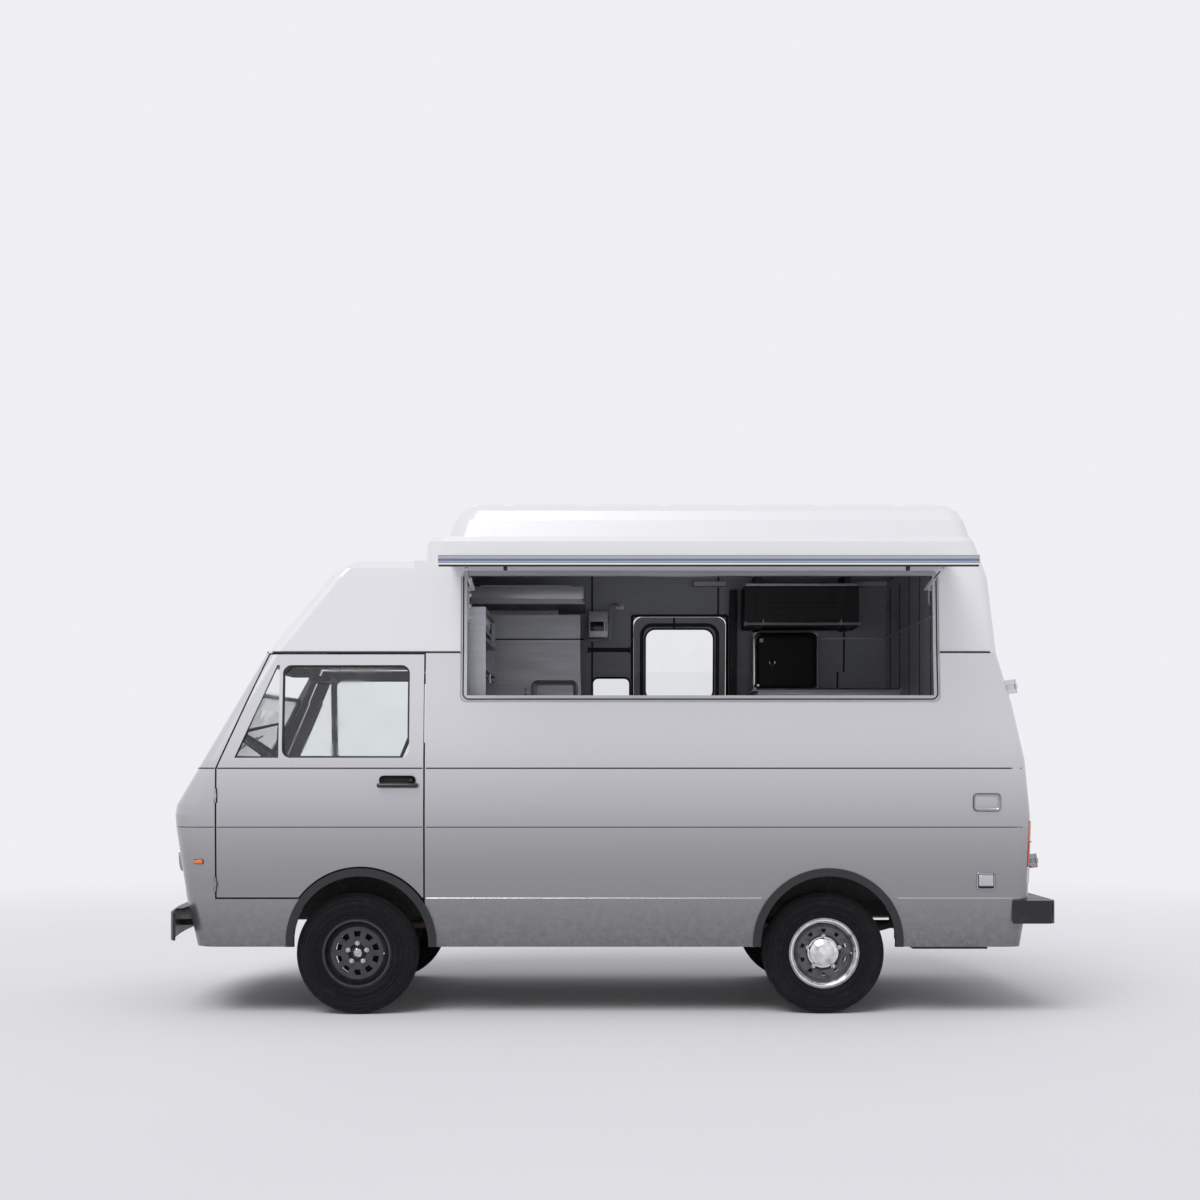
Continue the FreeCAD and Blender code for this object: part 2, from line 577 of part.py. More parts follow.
outer_body = stacked(body_levels(), 0.0)
inner_body = stacked(body_levels(), wall, wall)
body_shell = outer_body.cut(inner_body)


def body_skin(depth, thickness):
    """Thin skin that follows the body at a depth under its surface; a negative depth stands out."""
    return stacked(body_levels(), depth).cut(stacked(body_levels(), depth + thickness, wall))


door_top_front = nose_x + size("seam_nose") + size("pillar_width")
z_door_low = z_fold_low
front_arch_x = front_axle + size("arch_shift")
rear_arch_x = rear_axle + size("rear_arch_shift")
z_arch = size("arch_height")
rear_door_half = size("rear_door_half")
z_rear_door_low = z_fold_low + size("rear_door_rise")


def arch_drum(x_centre, radius, y_from=-FAR, y_to=FAR):
    """Round cutter across the body at a wheel arch."""
    return rod(radius, V(x_centre, y_from, z_arch), V(x_centre, y_to, z_arch))


def cab_door_outline(shrink):
    """Side outline of a cab door: upright below the belt line, raked along the windscreen."""
    return [
        (door_front + shrink, z_door_low + shrink),
        (door_front + shrink, z_belt),
        (door_top_front + shrink, z_seam - shrink),
        (door_rear - shrink, z_seam - shrink),
        (door_rear - shrink, z_door_low + shrink),
    ]


def cab_windows(shrink):
    """Side outlines of the raked quarter light and the main pane of a cab door."""
    low = z_screen + size("cab_pane_rise") + shrink
    high = z_seam - size("cab_pane_drop") - shrink
    post = door_top_front + size("cab_post_trail")
    back = door_rear - size("cab_pane_trail") - shrink
    rake = (door_top_front - door_front) / (z_seam - z_belt)
    half_post = size("cab_post_width") / 2
    tip = post - half_post - rake * (high - low) - size("quarter_top")
    quarter = [
        (tip + shrink, low),
        (post - half_post - shrink, low),
        (post - half_post - shrink, high),
        (post - half_post - size("quarter_top") + shrink, high),
    ]
    main = [(post + half_post + shrink, low), (back, low), (back, high), (post + half_post + shrink, high)]
    return quarter, main


def make_front_panel():
    """Nose panel with its windscreen frame, pillars and lower wings, as one pressed shell."""
    slack = shut / 2
    outline = [
        (nose_x - wall, z_sill - wall),
        (front_arch_x, z_sill - wall),
        (front_arch_x, z_door_low - slack),
        (door_front - slack, z_door_low - slack),
        (door_front - slack, z_belt),
        (door_top_front - slack, z_seam),
        (door_top_front - slack, z_seam + wall),
        (nose_x - wall, z_seam + wall),
    ]
    panel = body_shell.common(side_plate(outline, -FAR, FAR))
    panel = panel.cut(arch_drum(front_arch_x, size("arch_radius") + seat))
    for hole in (windscreen_hole(0.0), flap_hole(-slack), grille_hole(0.0)):
        panel = panel.cut(hole)
    return keep("front_panel", panel)


def windscreen_hole(shrink):
    """Opening of the windscreen, with round corners."""
    low = z_screen + size("screen_margin") + shrink
    high = z_seam - size("screen_header") - shrink
    foot = size("screen_half_foot") - shrink
    head = size("screen_half_head") - shrink
    outline = [(-foot, low), (foot, low), (head, high), (-head, high)]
    plate = end_plate(outline, nose_x - wall, nose_x + size("seam_nose") + size("pillar_width") * 2)
    return rounded(plate, size("pane_corner"), V(1, 0, 0))


def flap_hole(shrink):
    """Opening of the service flap under the windscreen."""
    half = size("flap_half") - shrink
    low = z_brow_top + size("service_margin") + shrink
    high = z_screen - size("service_margin") - shrink
    return block(nose_x - wall, nose_x + size("screen_nose") + wall * 3, -half, half, low, high)


def grille_hole(shrink):
    """Opening of the grille, between the lower and the upper body line."""
    half = size("grille_half") - shrink
    low = z_fold_low + size("grille_rise") + shrink
    high = z_fold_high - size("grille_drop") - shrink
    plate = block(nose_x - wall, nose_x + wall * 5, -half, half, low, high)
    return rounded(plate, size("grille_corner"), V(1, 0, 0))


def make_cab_door(side, name):
    """Hollow-section cab door with its window frame; the post splits off the quarter light."""
    slack = shut / 2
    door = body_shell.common(side_plate(cab_door_outline(slack), -FAR, -size("door_reach")))
    door = door.cut(block(-FAR, FAR, -FAR, FAR, z_seam - shut, FAR))
    door = door.cut(arch_drum(front_arch_x, size("arch_radius") + shut))
    quarter, main = cab_windows(0.0)
    door = door.cut(side_plate(quarter, -FAR, 0))
    door = door.cut(rounded(side_plate(main, -FAR, 0), size("pane_corner"), V(0, 1, 0)))
    return keep("cab_door_" + name, door if side < 0 else mirrored(door))


def make_cab_glass(side, name):
    """Quarter light and main pane of a cab door."""
    skin = body_skin(size("glass_depth"), size("glass_thickness"))
    gap = size("glass_gap")
    quarter, main = cab_windows(gap)
    panes = [
        skin.common(side_plate(quarter, -FAR, -size("door_reach"))),
        skin.common(rounded(side_plate(main, -FAR, -size("door_reach")), size("pane_corner") - gap,
                            V(0, 1, 0))),
    ]
    glass = Part.makeCompound([pane.Solids[0] for pane in panes])
    return keep("cab_glass_" + name, glass if side < 0 else mirrored(glass))


def hatch_hole(shrink):
    """Serving hatch through the left side, across the roof seam, with round corners."""
    plate = block(hatch_front + shrink, hatch_rear - shrink, -FAR, -size("half_width") / 2,
                  z_hatch_low + shrink, z_hatch_high - shrink)
    return rounded(plate, max(size("hatch_corner") - shrink, 1), V(0, 1, 0))


def side_door_hole(shrink):
    """Doorway of the hinged entrance door in the right side, across the roof seam."""
    x_from = rear_axle - size("side_door_lead") + shrink
    x_to = x_from + size("side_door_width") - 2 * shrink
    plate = block(x_from, x_to, size("half_width") / 2, FAR, z_fold_low + size("side_door_rise") + shrink,
                  z_seam + size("side_door_head") - shrink)
    return rounded(plate, size("side_door_corner") - shrink, V(0, 1, 0))


def side_region(side):
    """Everything behind the cab door on one side, outside the rear doorway."""
    slack = shut / 2
    y_from, y_to = (-FAR, 0) if side < 0 else (0, FAR)
    region = block(door_rear + slack, tail_x + wall, y_from, y_to, z_sill - wall, z_seam + wall)
    doorway = rear_door_half + slack
    return region.cut(block(tail_x - size("rear_pillar_depth"), FAR, -doorway, doorway, 0, FAR))


def make_side_panels():
    """Left panel with the serving hatch, right panel with the entrance doorway and a window."""
    drum = arch_drum(rear_arch_x, size("arch_radius") + seat)
    drum = drum.fuse(arch_drum(front_arch_x, size("arch_radius") + seat))
    left = body_shell.common(side_region(-1)).cut(drum).cut(hatch_hole(0.0))
    right = body_shell.common(side_region(1)).cut(drum)
    right = right.cut(side_door_hole(-shut / 2)).cut(side_window_hole(0.0))
    return keep("side_panel_left", left), keep("side_panel_right", right)


def side_window_hole(shrink):
    """Small fixed window in the right side, ahead of the entrance door."""
    x_to = rear_axle - size("side_door_lead") - size("side_window_gap") - shrink
    x_from = x_to - size("side_window_width") + 2 * shrink
    high = z_seam - size("side_window_drop") - shrink
    low = high - size("side_window_height") + 2 * shrink
    plate = block(x_from, x_to, size("half_width") / 2, FAR, low, high)
    return rounded(plate, size("pane_corner") - shrink, V(0, 1, 0))


def make_rear_valance():
    """Pressed panel under the rear doors."""
    slack = shut / 2
    half = rear_door_half + slack - seat
    region = block(tail_x - size("rear_pillar_depth"), FAR, -half, half, z_sill, z_rear_door_low - slack)
    return keep("rear_valance", body_shell.common(region))


def make_rear_door(side, name):
    """One of the two tall rear doors; they meet on the centre plane."""
    slack = shut / 2
    meet = size("rear_door_meet") / 2
    y_from, y_to = sorted((side * meet, side * (rear_door_half - slack)))
    region = block(tail_x - size("rear_pillar_depth"), FAR, y_from, y_to,
                   z_rear_door_low + slack, z_seam - shut)
    return keep("rear_door_" + name, body_shell.common(region))


def make_roof():
    """Roof moulding from the seam up, with the cab ramp, and the raised cap on its ledge."""
    moulding = roof_solid(0.0, 0.0, 0.0).cut(roof_solid(roof_wall, roof_wall, roof_wall))
    half = size("half_width") - size("shoulder_tuck")
    bevel = size("cab_roof_bevel")
    for side in (-1, 1):
        corner = [(side * (half + bevel), z_step + bevel), (side * (half - bevel * 2), z_step + bevel),
                  (side * (half + bevel), z_step - bevel * 2)]
        moulding = moulding.cut(end_plate(corner, nose_x, nose_x + size("step_nose") - seat))
    moulding = moulding.cut(hatch_hole(0.0)).cut(side_door_hole(-shut / 2))
    keep("roof_moulding", moulding)
    inside = stacked(cap_levels(roof_wall), roof_wall).fuse(stacked([cap_levels(0.0)[0]] * 2, roof_wall, seat))
    cap = stacked(cap_levels(0.0), 0.0).cut(inside)
    groove = size("cap_groove_round")
    top = z_ledge + sum_of("cap_low_rise", "cap_mid_rise", "cap_high_rise", "cap_top_rise")
    for step in range(int(size("cap_groove_count"))):
        x = nose_x + size("cap_groove_first") + step * size("cap_groove_pitch")
        height = top + groove - size("cap_groove_depth")
        cap = cap.cut(rod(groove, V(x, -FAR, height), V(x, FAR, height)))
    keep("roof_cap", cap)


def make_side_door():
    """Hinged entrance door in the right side, with a round-cornered window at eye height."""
    region = side_door_hole(shut / 2)
    low = region.common(block(-FAR, FAR, -FAR, FAR, 0, z_seam))
    high = region.common(block(-FAR, FAR, -FAR, FAR, z_seam, FAR))
    roof = roof_solid(0.0, 0.0, 0.0).cut(roof_solid(wall, 0.0, wall))
    door = body_shell.common(low).fuse(roof.common(high)).removeSplitter()
    door = door.cut(side_door_window(0.0))
    keep("side_door", door)
    depth = size("glass_depth")
    thick = size("glass_thickness")
    pane = side_door_window(size("glass_gap"))
    low = body_skin(depth, thick).common(pane)
    roof = roof_solid(depth, 0.0, 0.0).cut(roof_solid(depth + thick, 0.0, wall))
    keep("side_door_glass", low.fuse(roof.common(pane)).removeSplitter())


def side_door_window(shrink):
    """Window of the entrance door, across the roof seam."""
    x_from = rear_axle - size("side_door_lead") + size("side_pane_margin") + shrink
    x_to = x_from + size("side_door_width") - 2 * size("side_pane_margin") - 2 * shrink
    high = z_seam + size("side_pane_head") - shrink
    plate = block(x_from, x_to, size("half_width") / 2, FAR, high - size("side_pane_height") + 2 * shrink,
                  high)
    return rounded(plate, size("side_pane_corner") - shrink, V(0, 1, 0))


def make_body_glass():
    """Windscreen and the small fixed window in the right side."""
    skin = body_skin(size("glass_depth"), size("glass_thickness"))
    gap = size("glass_gap")
    panes = [skin.common(windscreen_hole(gap)), skin.common(side_window_hole(gap))]
    keep("body_glass", Part.makeCompound([pane.Solids[0] for pane in panes]))


def make_service_flap():
    """Short flap under the windscreen that covers the fluid fillers."""
    keep("service_flap", body_skin(0.0, size("service_thickness")).common(flap_hole(shut / 2)))


def origin_plane(body, role):
    """One of a body's own origin planes."""
    return [plane for plane in body.Origin.OriginFeatures if plane.Role == role][0]


def drawn(body, role, name, corners):
    """Closed sketch on an origin plane; each corner is a pair of expressions on the sheet."""
    sketch = body.newObject("Sketcher::SketchObject", name)
    sketch.AttachmentSupport = (origin_plane(body, role), [""])
    sketch.MapMode = "FlatFace"
    spots = [V(float(sketch.evalExpression(x)), float(sketch.evalExpression(y)), 0) for x, y in corners]
    count = len(spots)
    for index in range(count):
        sketch.addGeometry(Part.LineSegment(spots[index], spots[(index + 1) % count]))
    for index in range(count):
        sketch.addConstraint(Sketcher.Constraint("Coincident", index, 2, (index + 1) % count, 1))
    for index, (x, y) in enumerate(corners):
        for kind, value, text in (("DistanceX", spots[index].x, x), ("DistanceY", spots[index].y, y)):
            spot = sketch.addConstraint(Sketcher.Constraint(kind, index, 1, value))
            sketch.renameConstraint(spot, "%s%d" % (kind, index))
            sketch.setExpression("Constraints.%s%d" % (kind, index), text)
    return sketch


def new_body(label):
    """Empty body for a sub-part."""
    body = doc.addObject("PartDesign::Body", label)
    body.Label = label
    return body


def wheel_corners():
    """Name, axle place and side of the four wheels."""
    track_front = size("track_front") / 2
    track_rear = size("track_rear") / 2
    return [
        ("front_left", front_axle, -track_front, -1),
        ("front_right", front_axle, track_front, 1),
        ("rear_left", rear_axle, -track_rear, -1),
        ("rear_right", rear_axle, track_rear, 1),
    ]


def set_on_hub(piece, x, y, side):
    """Place a wheel piece, drawn about its own X axis, on its hub with its face outwards."""
    turn = FreeCAD.Rotation(V(0, 0, 1), 90 * side)
    piece.Placement = FreeCAD.Placement(V(x, y, size("tyre_radius")), turn)


def make_tyre(label, x, y, side):
    """Tyre turned about its axle, with flat walls and cut-off shoulders."""
    body = new_body(label)
    half = "Sizes.tyre_width / 2"
    bead = "Sizes.rim_radius + Sizes.bead_gap"
    profile = [
        (half, bead),
        (half, "Sizes.tyre_radius - Sizes.tyre_shoulder"),
        (half + " - Sizes.tyre_shoulder", "Sizes.tyre_radius"),
    ]
    other = [("-(%s)" % a, b) for a, b in reversed(profile)]
    sketch = drawn(body, "XY_Plane", label + "_profile", profile + other)
    turned = body.newObject("PartDesign::Revolution", label + "_turned")
    turned.Profile = sketch
    turned.ReferenceAxis = (sketch, ["H_Axis"])
    turned.Angle = 360
    set_on_hub(body, x, y, side)


def make_rim(label, x, y, side, windows, hub):
    """Pressed steel rim: turned barrel and dished disc with its cap, and a ring of windows."""
    body = new_body(label)
    out = "Sizes.rim_width / 2"
    lip = "Sizes.rim_radius"
    shelf = "Sizes.rim_radius - Sizes.rim_lip"
    inside = shelf + " - Sizes.rim_skin"
    foot = "Sizes.disc_depth - Sizes.disc_dish"
    hub_line = "Sizes.%s_radius + Sizes.hub_margin" % hub
    profile = [
        (out, lip),
        (out + " - Sizes.rim_skin", shelf),
        ("-(%s) + Sizes.rim_skin" % out, shelf),
        ("-(%s)" % out, lip),
        ("-(%s)" % out, inside),
        (foot + " - Sizes.disc_skin", inside),
        (foot + " - Sizes.disc_skin", "0"),
        (foot + " + Sizes.%s_height" % hub, "0"),
        (foot + " + Sizes.%s_height * 0.9" % hub, "Sizes.%s_radius * 0.6" % hub),
        (foot + " + Sizes.%s_height * 0.6" % hub, "Sizes.%s_radius * 0.94" % hub),
        (foot, "Sizes.%s_radius" % hub),
        (foot, hub_line),
        ("Sizes.disc_depth", hub_line + " + Sizes.hub_slope"),
        ("Sizes.disc_depth", "Sizes.disc_shoulder"),
        (foot, inside),
        (out, inside),
    ]
    sketch = drawn(body, "XY_Plane", label + "_profile", profile)
    turned = body.newObject("PartDesign::Revolution", label + "_turned")
    turned.Profile = sketch
    turned.ReferenceAxis = (sketch, ["H_Axis"])
    turned.Angle = 360
    doc.recompute()
    half = "Sizes.%s_window_width / 2" % windows
    low = "Sizes.%s_window_radius - Sizes.%s_window_height / 2" % (windows, windows)
    high = "Sizes.%s_window_radius + Sizes.%s_window_height / 2" % (windows, windows)
    corners = [("-(%s) * 0.7" % half, low), ("(%s) * 0.7" % half, low), (half, high), ("-(%s)" % half, high)]
    window = drawn(body, "YZ_Plane", label + "_window", corners)
    cut = body.newObject("PartDesign::Pocket", label + "_cut")
    cut.Profile = window
    cut.Type = "ThroughAll"
    cut.Midplane = True
    ring = body.newObject("PartDesign::PolarPattern", label + "_windows")
    ring.Originals = [cut]
    ring.Axis = (window, ["N_Axis"])
    ring.Angle = 360
    ring.setExpression("Occurrences", "Sizes.%s_windows" % windows)
    body.Tip = ring
    set_on_hub(body, x, y, side)


def make_wheels():
    """Four tyres on steel rims; the rear rims carry larger caps."""
    for name, x, y, side in wheel_corners():
        axle = name.split("_")[0]
        make_tyre("tyre_" + name, x, y, side)
        make_rim("rim_" + name, x, y, side, axle, axle + "_cap")


def make_floor():
    """Floor with its rails and cross members, four wheel boxes and the cover over the engine."""
    skin = size("floor_skin")
    top = size("floor_height")
    half = size("half_width") - size("sill_tuck") - wall - seat
    x_from = nose_x + size("floor_front")
    x_to = tail_x - size("floor_back")
    floor = block(x_from, x_to, -half, half, top - skin, top)
    rail = size("rail_width")
    rail_y = size("rail_offset")
    rail_low = top - skin - size("rail_height")
    for side in (-1, 1):
        y = side * rail_y
        floor = floor.fuse(block(x_from, x_to, y - rail / 2, y + rail / 2, rail_low, top - skin))
    for share in (0.02, 0.34, 0.5, 0.62, 0.97):
        x = between(x_from, x_to, share)
        floor = floor.fuse(block(x, x + rail, -half + rail, half - rail, rail_low + rail / 2, top - skin))
    boxes = []
    for x_axle, inner, reach in ((front_axle, "front_box_inner", "front_box_reach"),
                                 (rear_axle, "rear_box_inner", "rear_box_reach")):
        for side in (-1, 1):
            shell, hollow = wheel_box(x_axle, side, size(inner), size(reach), half)
            room = wheel_box(x_axle, side, size(inner) - seat, size(reach) + seat, half)[0]
            floor = floor.cut(room).cut(hollow)
            boxes.append(shell.cut(hollow))
    keep("wheel_boxes", Part.makeCompound(boxes))
    cover = size("cover_half")
    x_low = front_axle - size("cover_lead")
    x_high = front_axle + size("cover_trail")
    high = top + size("cover_height")
    inside = block(x_low + skin, x_high - skin, -cover + skin, cover - skin, 0, high - skin)
    keep("floor_pan", floor.cut(inside).removeSplitter())
    keep("engine_cover", block(x_low, x_high, -cover, cover, top + seat, high).cut(inside))


def wheel_box(x_axle, side, inner, reach, half):
    """Outside and hollow of a wheel box: a lid and walls over the wheel, open below and to the arch."""
    skin = size("floor_skin")
    high = z_arch + size("arch_radius") + size("box_headroom")
    y_from, y_to = sorted((side * inner, side * half))
    shell = block(x_axle - reach, x_axle + reach, y_from, y_to, size("floor_height") - skin, high)
    y_in, y_out = sorted((side * (inner + skin), side * FAR))
    hollow = block(x_axle - reach + skin, x_axle + reach - skin, y_in, y_out, 0, high - skin)
    return shell, hollow


def make_arch_lips():
    """Black lips of the four wheel arches, standing out a little from the side."""
    flare = size("arch_flare")
    radius = size("arch_radius")
    band = body_skin(-flare, flare + wall * 0.6)
    lips = []
    for x in (front_arch_x, rear_arch_x):
        for side in (-1, 1):
            y_from, y_to = (-FAR, -size("half_width") / 2) if side < 0 else (size("half_width") / 2, FAR)
            ring = arch_drum(x, radius, y_from, y_to).cut(arch_drum(x, radius - size("arch_lip"), y_from, y_to))
            lips.append(band.common(ring).common(block(-FAR, FAR, y_from, y_to, z_sill, FAR)))
    keep("arch_lips", Part.makeCompound([lip.Solids[0] for lip in lips]))


def make_suspension():
    """Front cross member with lower arms, and the sprung rear axle with its shaft."""
    z_hub = size("tyre_radius")
    arm_z = z_hub - size("knuckle_height") / 2
    tip = size("track_front") / 2 - size("kingpin_inset")
    beam = block(front_axle - 70, front_axle + 70, -420, 420, arm_z - 40, arm_z + 35)
    for side in (-1, 1):
        beam = beam.fuse(block(front_axle - 60, front_axle + 60, side * 410 - 30, side * 410 + 30,
                               arm_z, size("floor_height") - size("floor_skin") - size("rail_height") - seat))
        for level in (arm_z - size("arm_thickness"), z_hub + size("knuckle_height") / 2):
            arm = [(front_axle - 28, side * tip), (front_axle + 28, side * tip),
                   (front_axle + 60, side * 400), (front_axle - 60, side * 400)]
            corners = [V(x, y, level) for x, y in arm]
            plate = Part.Face(Part.makePolygon(corners + corners[:1])).extrude(V(0, 0, size("arm_thickness")))
            beam = beam.fuse(plate)
    engine_low = size("floor_height") + size("cover_height") - size("floor_skin") * 2 - size("engine_height")
    for side in (-1, 1):
        beam = beam.fuse(block(front_axle - 30, front_axle + 30, side * 150 - 30, side * 150 + 30,
                               arm_z, engine_low - seat))
    keep("front_suspension", beam.removeSplitter())
    tube = size("axle_tube_radius")
    end = size("track_rear") / 2 - size("rim_width") / 2 - 12
    axle = rod(tube, V(rear_axle, -end, z_hub), V(rear_axle, end, z_hub))
    bulge = size("differential_radius")
    cover = rod(bulge, V(rear_axle, -bulge / 2, z_hub), V(rear_axle, bulge / 2, z_hub))
    axle = axle.fuse(cover.makeChamfer(size("differential_chamfer"), cover.Edges))
    for side in (-1, 1):
        drum_from = side * end
        drum_to = side * (size("track_rear") / 2 + size("disc_depth") - size("disc_dish") - size("disc_skin") - seat)
        axle = axle.fuse(rod(size("drum_radius"), V(rear_axle, drum_from, z_hub), V(rear_axle, drum_to, z_hub)))
        axle = axle.fuse(leaf_spring(side * size("rail_offset"), z_hub + tube))
    shaft_end = V(front_axle + size("cover_trail") + 60, 0, size("floor_height") - size("floor_skin") - 130)
    axle = axle.fuse(rod(size("shaft_radius"), shaft_end, V(rear_axle, 0, z_hub)))
    keep("rear_axle", axle.removeSplitter())


def leaf_spring(y, height):
    """Pack of leaves bowed between its two shackles under the rail."""
    reach = size("spring_reach")
    rail_low = size("floor_height") - size("floor_skin") - size("rail_height")
    thick = size("spring_thickness")
    half = size("spring_width") / 2
    low = V(rear_axle, y - half, height - 4)
    ends = [V(rear_axle - reach, y - half, rail_low - 60), V(rear_axle + reach, y - half, rail_low - 60)]
    rise = V(0, 0, thick)
    lower = Part.Arc(ends[0], low, ends[1]).toShape()
    upper = Part.Arc(ends[1] + rise, low + rise, ends[0] + rise).toShape()
    wire = Part.Wire([lower, Part.makeLine(ends[1], ends[1] + rise), upper, Part.makeLine(ends[0] + rise, ends[0])])
    spring = Part.Face(wire).extrude(V(0, 2 * half, 0))
    for tip in ends:
        spring = spring.fuse(block(tip.x - 20, tip.x + 20, y - half, y + half, tip.z, rail_low - seat))
    return spring


def make_knuckles():
    """Steering knuckles between the arms, each with its stub axle and brake disc."""
    z_hub = size("tyre_radius")
    half = size("knuckle_height") / 2 - size("knuckle_gap")
    for side, name in ((-1, "left"), (1, "right")):
        y = side * (size("track_front") / 2 - size("kingpin_inset"))
        body = rod(size("kingpin_radius"), V(front_axle, y, z_hub - half), V(front_axle, y, z_hub + half))
        outer = side * (size("track_front") / 2 + size("disc_depth") - size("disc_dish") - size("disc_skin") - seat)
        stub = rod(size("stub_radius"), V(front_axle, y, z_hub), V(front_axle, outer, z_hub))
        disc_in = y + side * 38
        disc = rod(size("brake_radius"), V(front_axle, disc_in, z_hub), V(front_axle, disc_in + side * 16, z_hub))
        keep("knuckle_" + name, body.fuse(stub).fuse(disc).removeSplitter())


def make_bumpers():
    """Bowed front bumper and C-shaped rear bumper, both of folded sheet."""
    low = size("front_bumper_low")
    high = low + size("bumper_height")
    stand = size("bumper_stand")
    skin = size("bumper_skin")
    outer = plan_ring(low, size("sill_nose") / 2, 0, 0, size("nose_round"), size("nose_bow"), -stand)
    inner = plan_ring(low, size("sill_nose") / 2, 0, 0, size("nose_round"), size("nose_bow"), skin - stand)
    bar = Part.Face(outer).extrude(V(0, 0, high - low)).cut(Part.Face(inner).extrude(V(0, 0, high - low)))
    bar = bar.common(block(-FAR, nose_x + size("bumper_wrap"), -size("half_width") + 30,
                           size("half_width") - 30, 0, FAR))
    lid = Part.Face(inner).extrude(V(0, 0, skin))
    lid = lid.common(block(-FAR, nose_x + size("sill_nose") / 2 + 10, -700, 700, 0, FAR))
    lid.translate(V(0, 0, high - low - skin))
    bar = bar.fuse(lid)
    arm_y = size("bumper_arm_offset")
    arm_x = nose_x + size("sill_nose") / 2 - stand + size("nose_bow") * (arm_y / size("half_width")) ** 2 + skin
    for side in (-1, 1):
        bar = bar.fuse(block(arm_x, nose_x + 250, side * arm_y - 25, side * arm_y + 25, low + 40, low + 70))
    nose = outer_body.copy()
    nose.translate(V(-seat, 0, 0))
    bar = bar.cut(nose)
    keep("front_bumper", Part.makeCompound([max(bar.Solids, key=lambda solid: solid.Volume)]))
    low = size("rear_bumper_low")
    high = low + size("rear_bumper_height")
    reach = tail_x + size("rear_bumper_reach")
    wide = size("half_width") + 4
    bar = rounded(block(reach - 260, reach, -wide, wide, low, high), 55, V(0, 0, 1))
    bar = bar.cut(block(reach - 400, reach - skin, -wide + skin, wide - skin, low - 1, high - skin))
    bar = bar.cut(block(reach - 400, reach - 230, -FAR, FAR, 0, FAR))
    for side in (-1, 1):
        bar = bar.fuse(block(tail_x - 340, reach - skin / 2, side * arm_y - 25, side * arm_y + 25, low + 10, low + 50))
    bar = bar.cut(stacked(body_levels(), -seat, wall))
    keep("rear_bumper", Part.makeCompound([max(bar.Solids, key=lambda solid: solid.Volume)]))


def side_line(height):
    """Distance from the centre plane to the outer skin of the left side at a height."""
    stations = [(level[0], size("half_width") - level[2]) for level in body_levels()]
    shoulder = roof_level(z_shoulder, 0)
    edge = roof_level(z_edge, 0)
    stations += [(level[0], size("half_width") - level[2]) for level in (shoulder, edge)]
    for (low, half_low), (high, half_high) in zip(stations, stations[1:]):
        if low <= height <= high:
            return between(half_low, half_high, (height - low) / (high - low))
    return stations[-1][1]


z_hinge = z_hatch_high + size("flap_hinge_rise")
y_hinge = -(side_line(z_hinge) + size("flap_stand_off"))
z_flap_foot = z_hatch_low - size("flap_overlap")
y_flap_foot = -(side_line(z_flap_foot) + size("flap_stand_off"))
flap_lean = math.degrees(math.atan2(y_hinge - y_flap_foot, z_hinge - z_flap_foot))
flap_reach = math.hypot(z_hinge - z_flap_foot, y_hinge - y_flap_foot)
flap_turn = 90 - size("flap_open_drop") - flap_lean
hinge_line = V(0, y_hinge, z_hinge)


def tail_line(height):
    """Place along X of the outer skin of the tail at a height, below the roof seam."""
    stations = [(level[0], tail_x - level[3]) for level in body_levels()]
    for (low, x_low), (high, x_high) in zip(stations, stations[1:]):
        if low <= height <= high:
            return between(x_low, x_high, (height - low) / (high - low))
    return stations[-1][1]


def nose_line(height):
    """Place along X of the foremost skin of the nose at a height, below the roof seam."""
    stations = [(level[0], nose_x + level[1]) for level in body_levels()]
    for (low, x_low), (high, x_high) in zip(stations, stations[1:]):
        if low <= height <= high:
            return between(x_low, x_high, (height - low) / (high - low))
    return stations[-1][1]


def rear_hinge_spots(side):
    """Middles of the two hinges of a rear door; the line through them is its axis."""
    y = side * (rear_door_half + shut / 2)
    heights = (z_rear_door_low + size("hinge_end_gap"), z_seam - size("hinge_end_gap"))
    return [V(tail_line(height) + size("rear_hinge_stand"), y, height) for height in heights]


def side_hinge_spots():
    """Middles of the two hinges of the entrance door."""
    x = rear_axle - size("side_door_lead")
    low = z_fold_low + size("side_door_rise") + size("side_hinge_end_gap")
    high = z_seam + size("side_door_head") - size("side_hinge_end_gap")
    return [V(x, side_line(height) + size("side_hinge_stand"), height) for height in (low, high)]


def cab_hinge_spots(side):
    """Middles of the two hinges of a cab door."""
    y = side * (size("half_width") + size("cab_hinge_stand"))
    return [V(door_front, y, height) for height in (z_fold_low + size("cab_hinge_rise"), z_slope)]


def flap_hinge_spots():
    """Middles of the two hinges of the service flap, above its upper edge."""
    height = z_screen - size("service_margin")
    x = nose_line(height) - size("flap_hinge_stand")
    return [V(x, y, height + size("flap_hinge_stand") / 2) for y in (-size("flap_half") * 0.6, size("flap_half") * 0.6)]


def strap(spot, line, arm, height):
    """Flat strap from a hinge line, square to it, to the end of an arm."""
    reach = arm - line * arm.dot(line)
    across = line.cross(reach).normalize() * size("hinge_strap")
    half = line * (height / 2)
    start = spot - across * 0.5
    corners = [start - half, start + half, start + reach + half, start + reach - half]
    return Part.Face(Part.makePolygon(corners + corners[:1])).extrude(across)


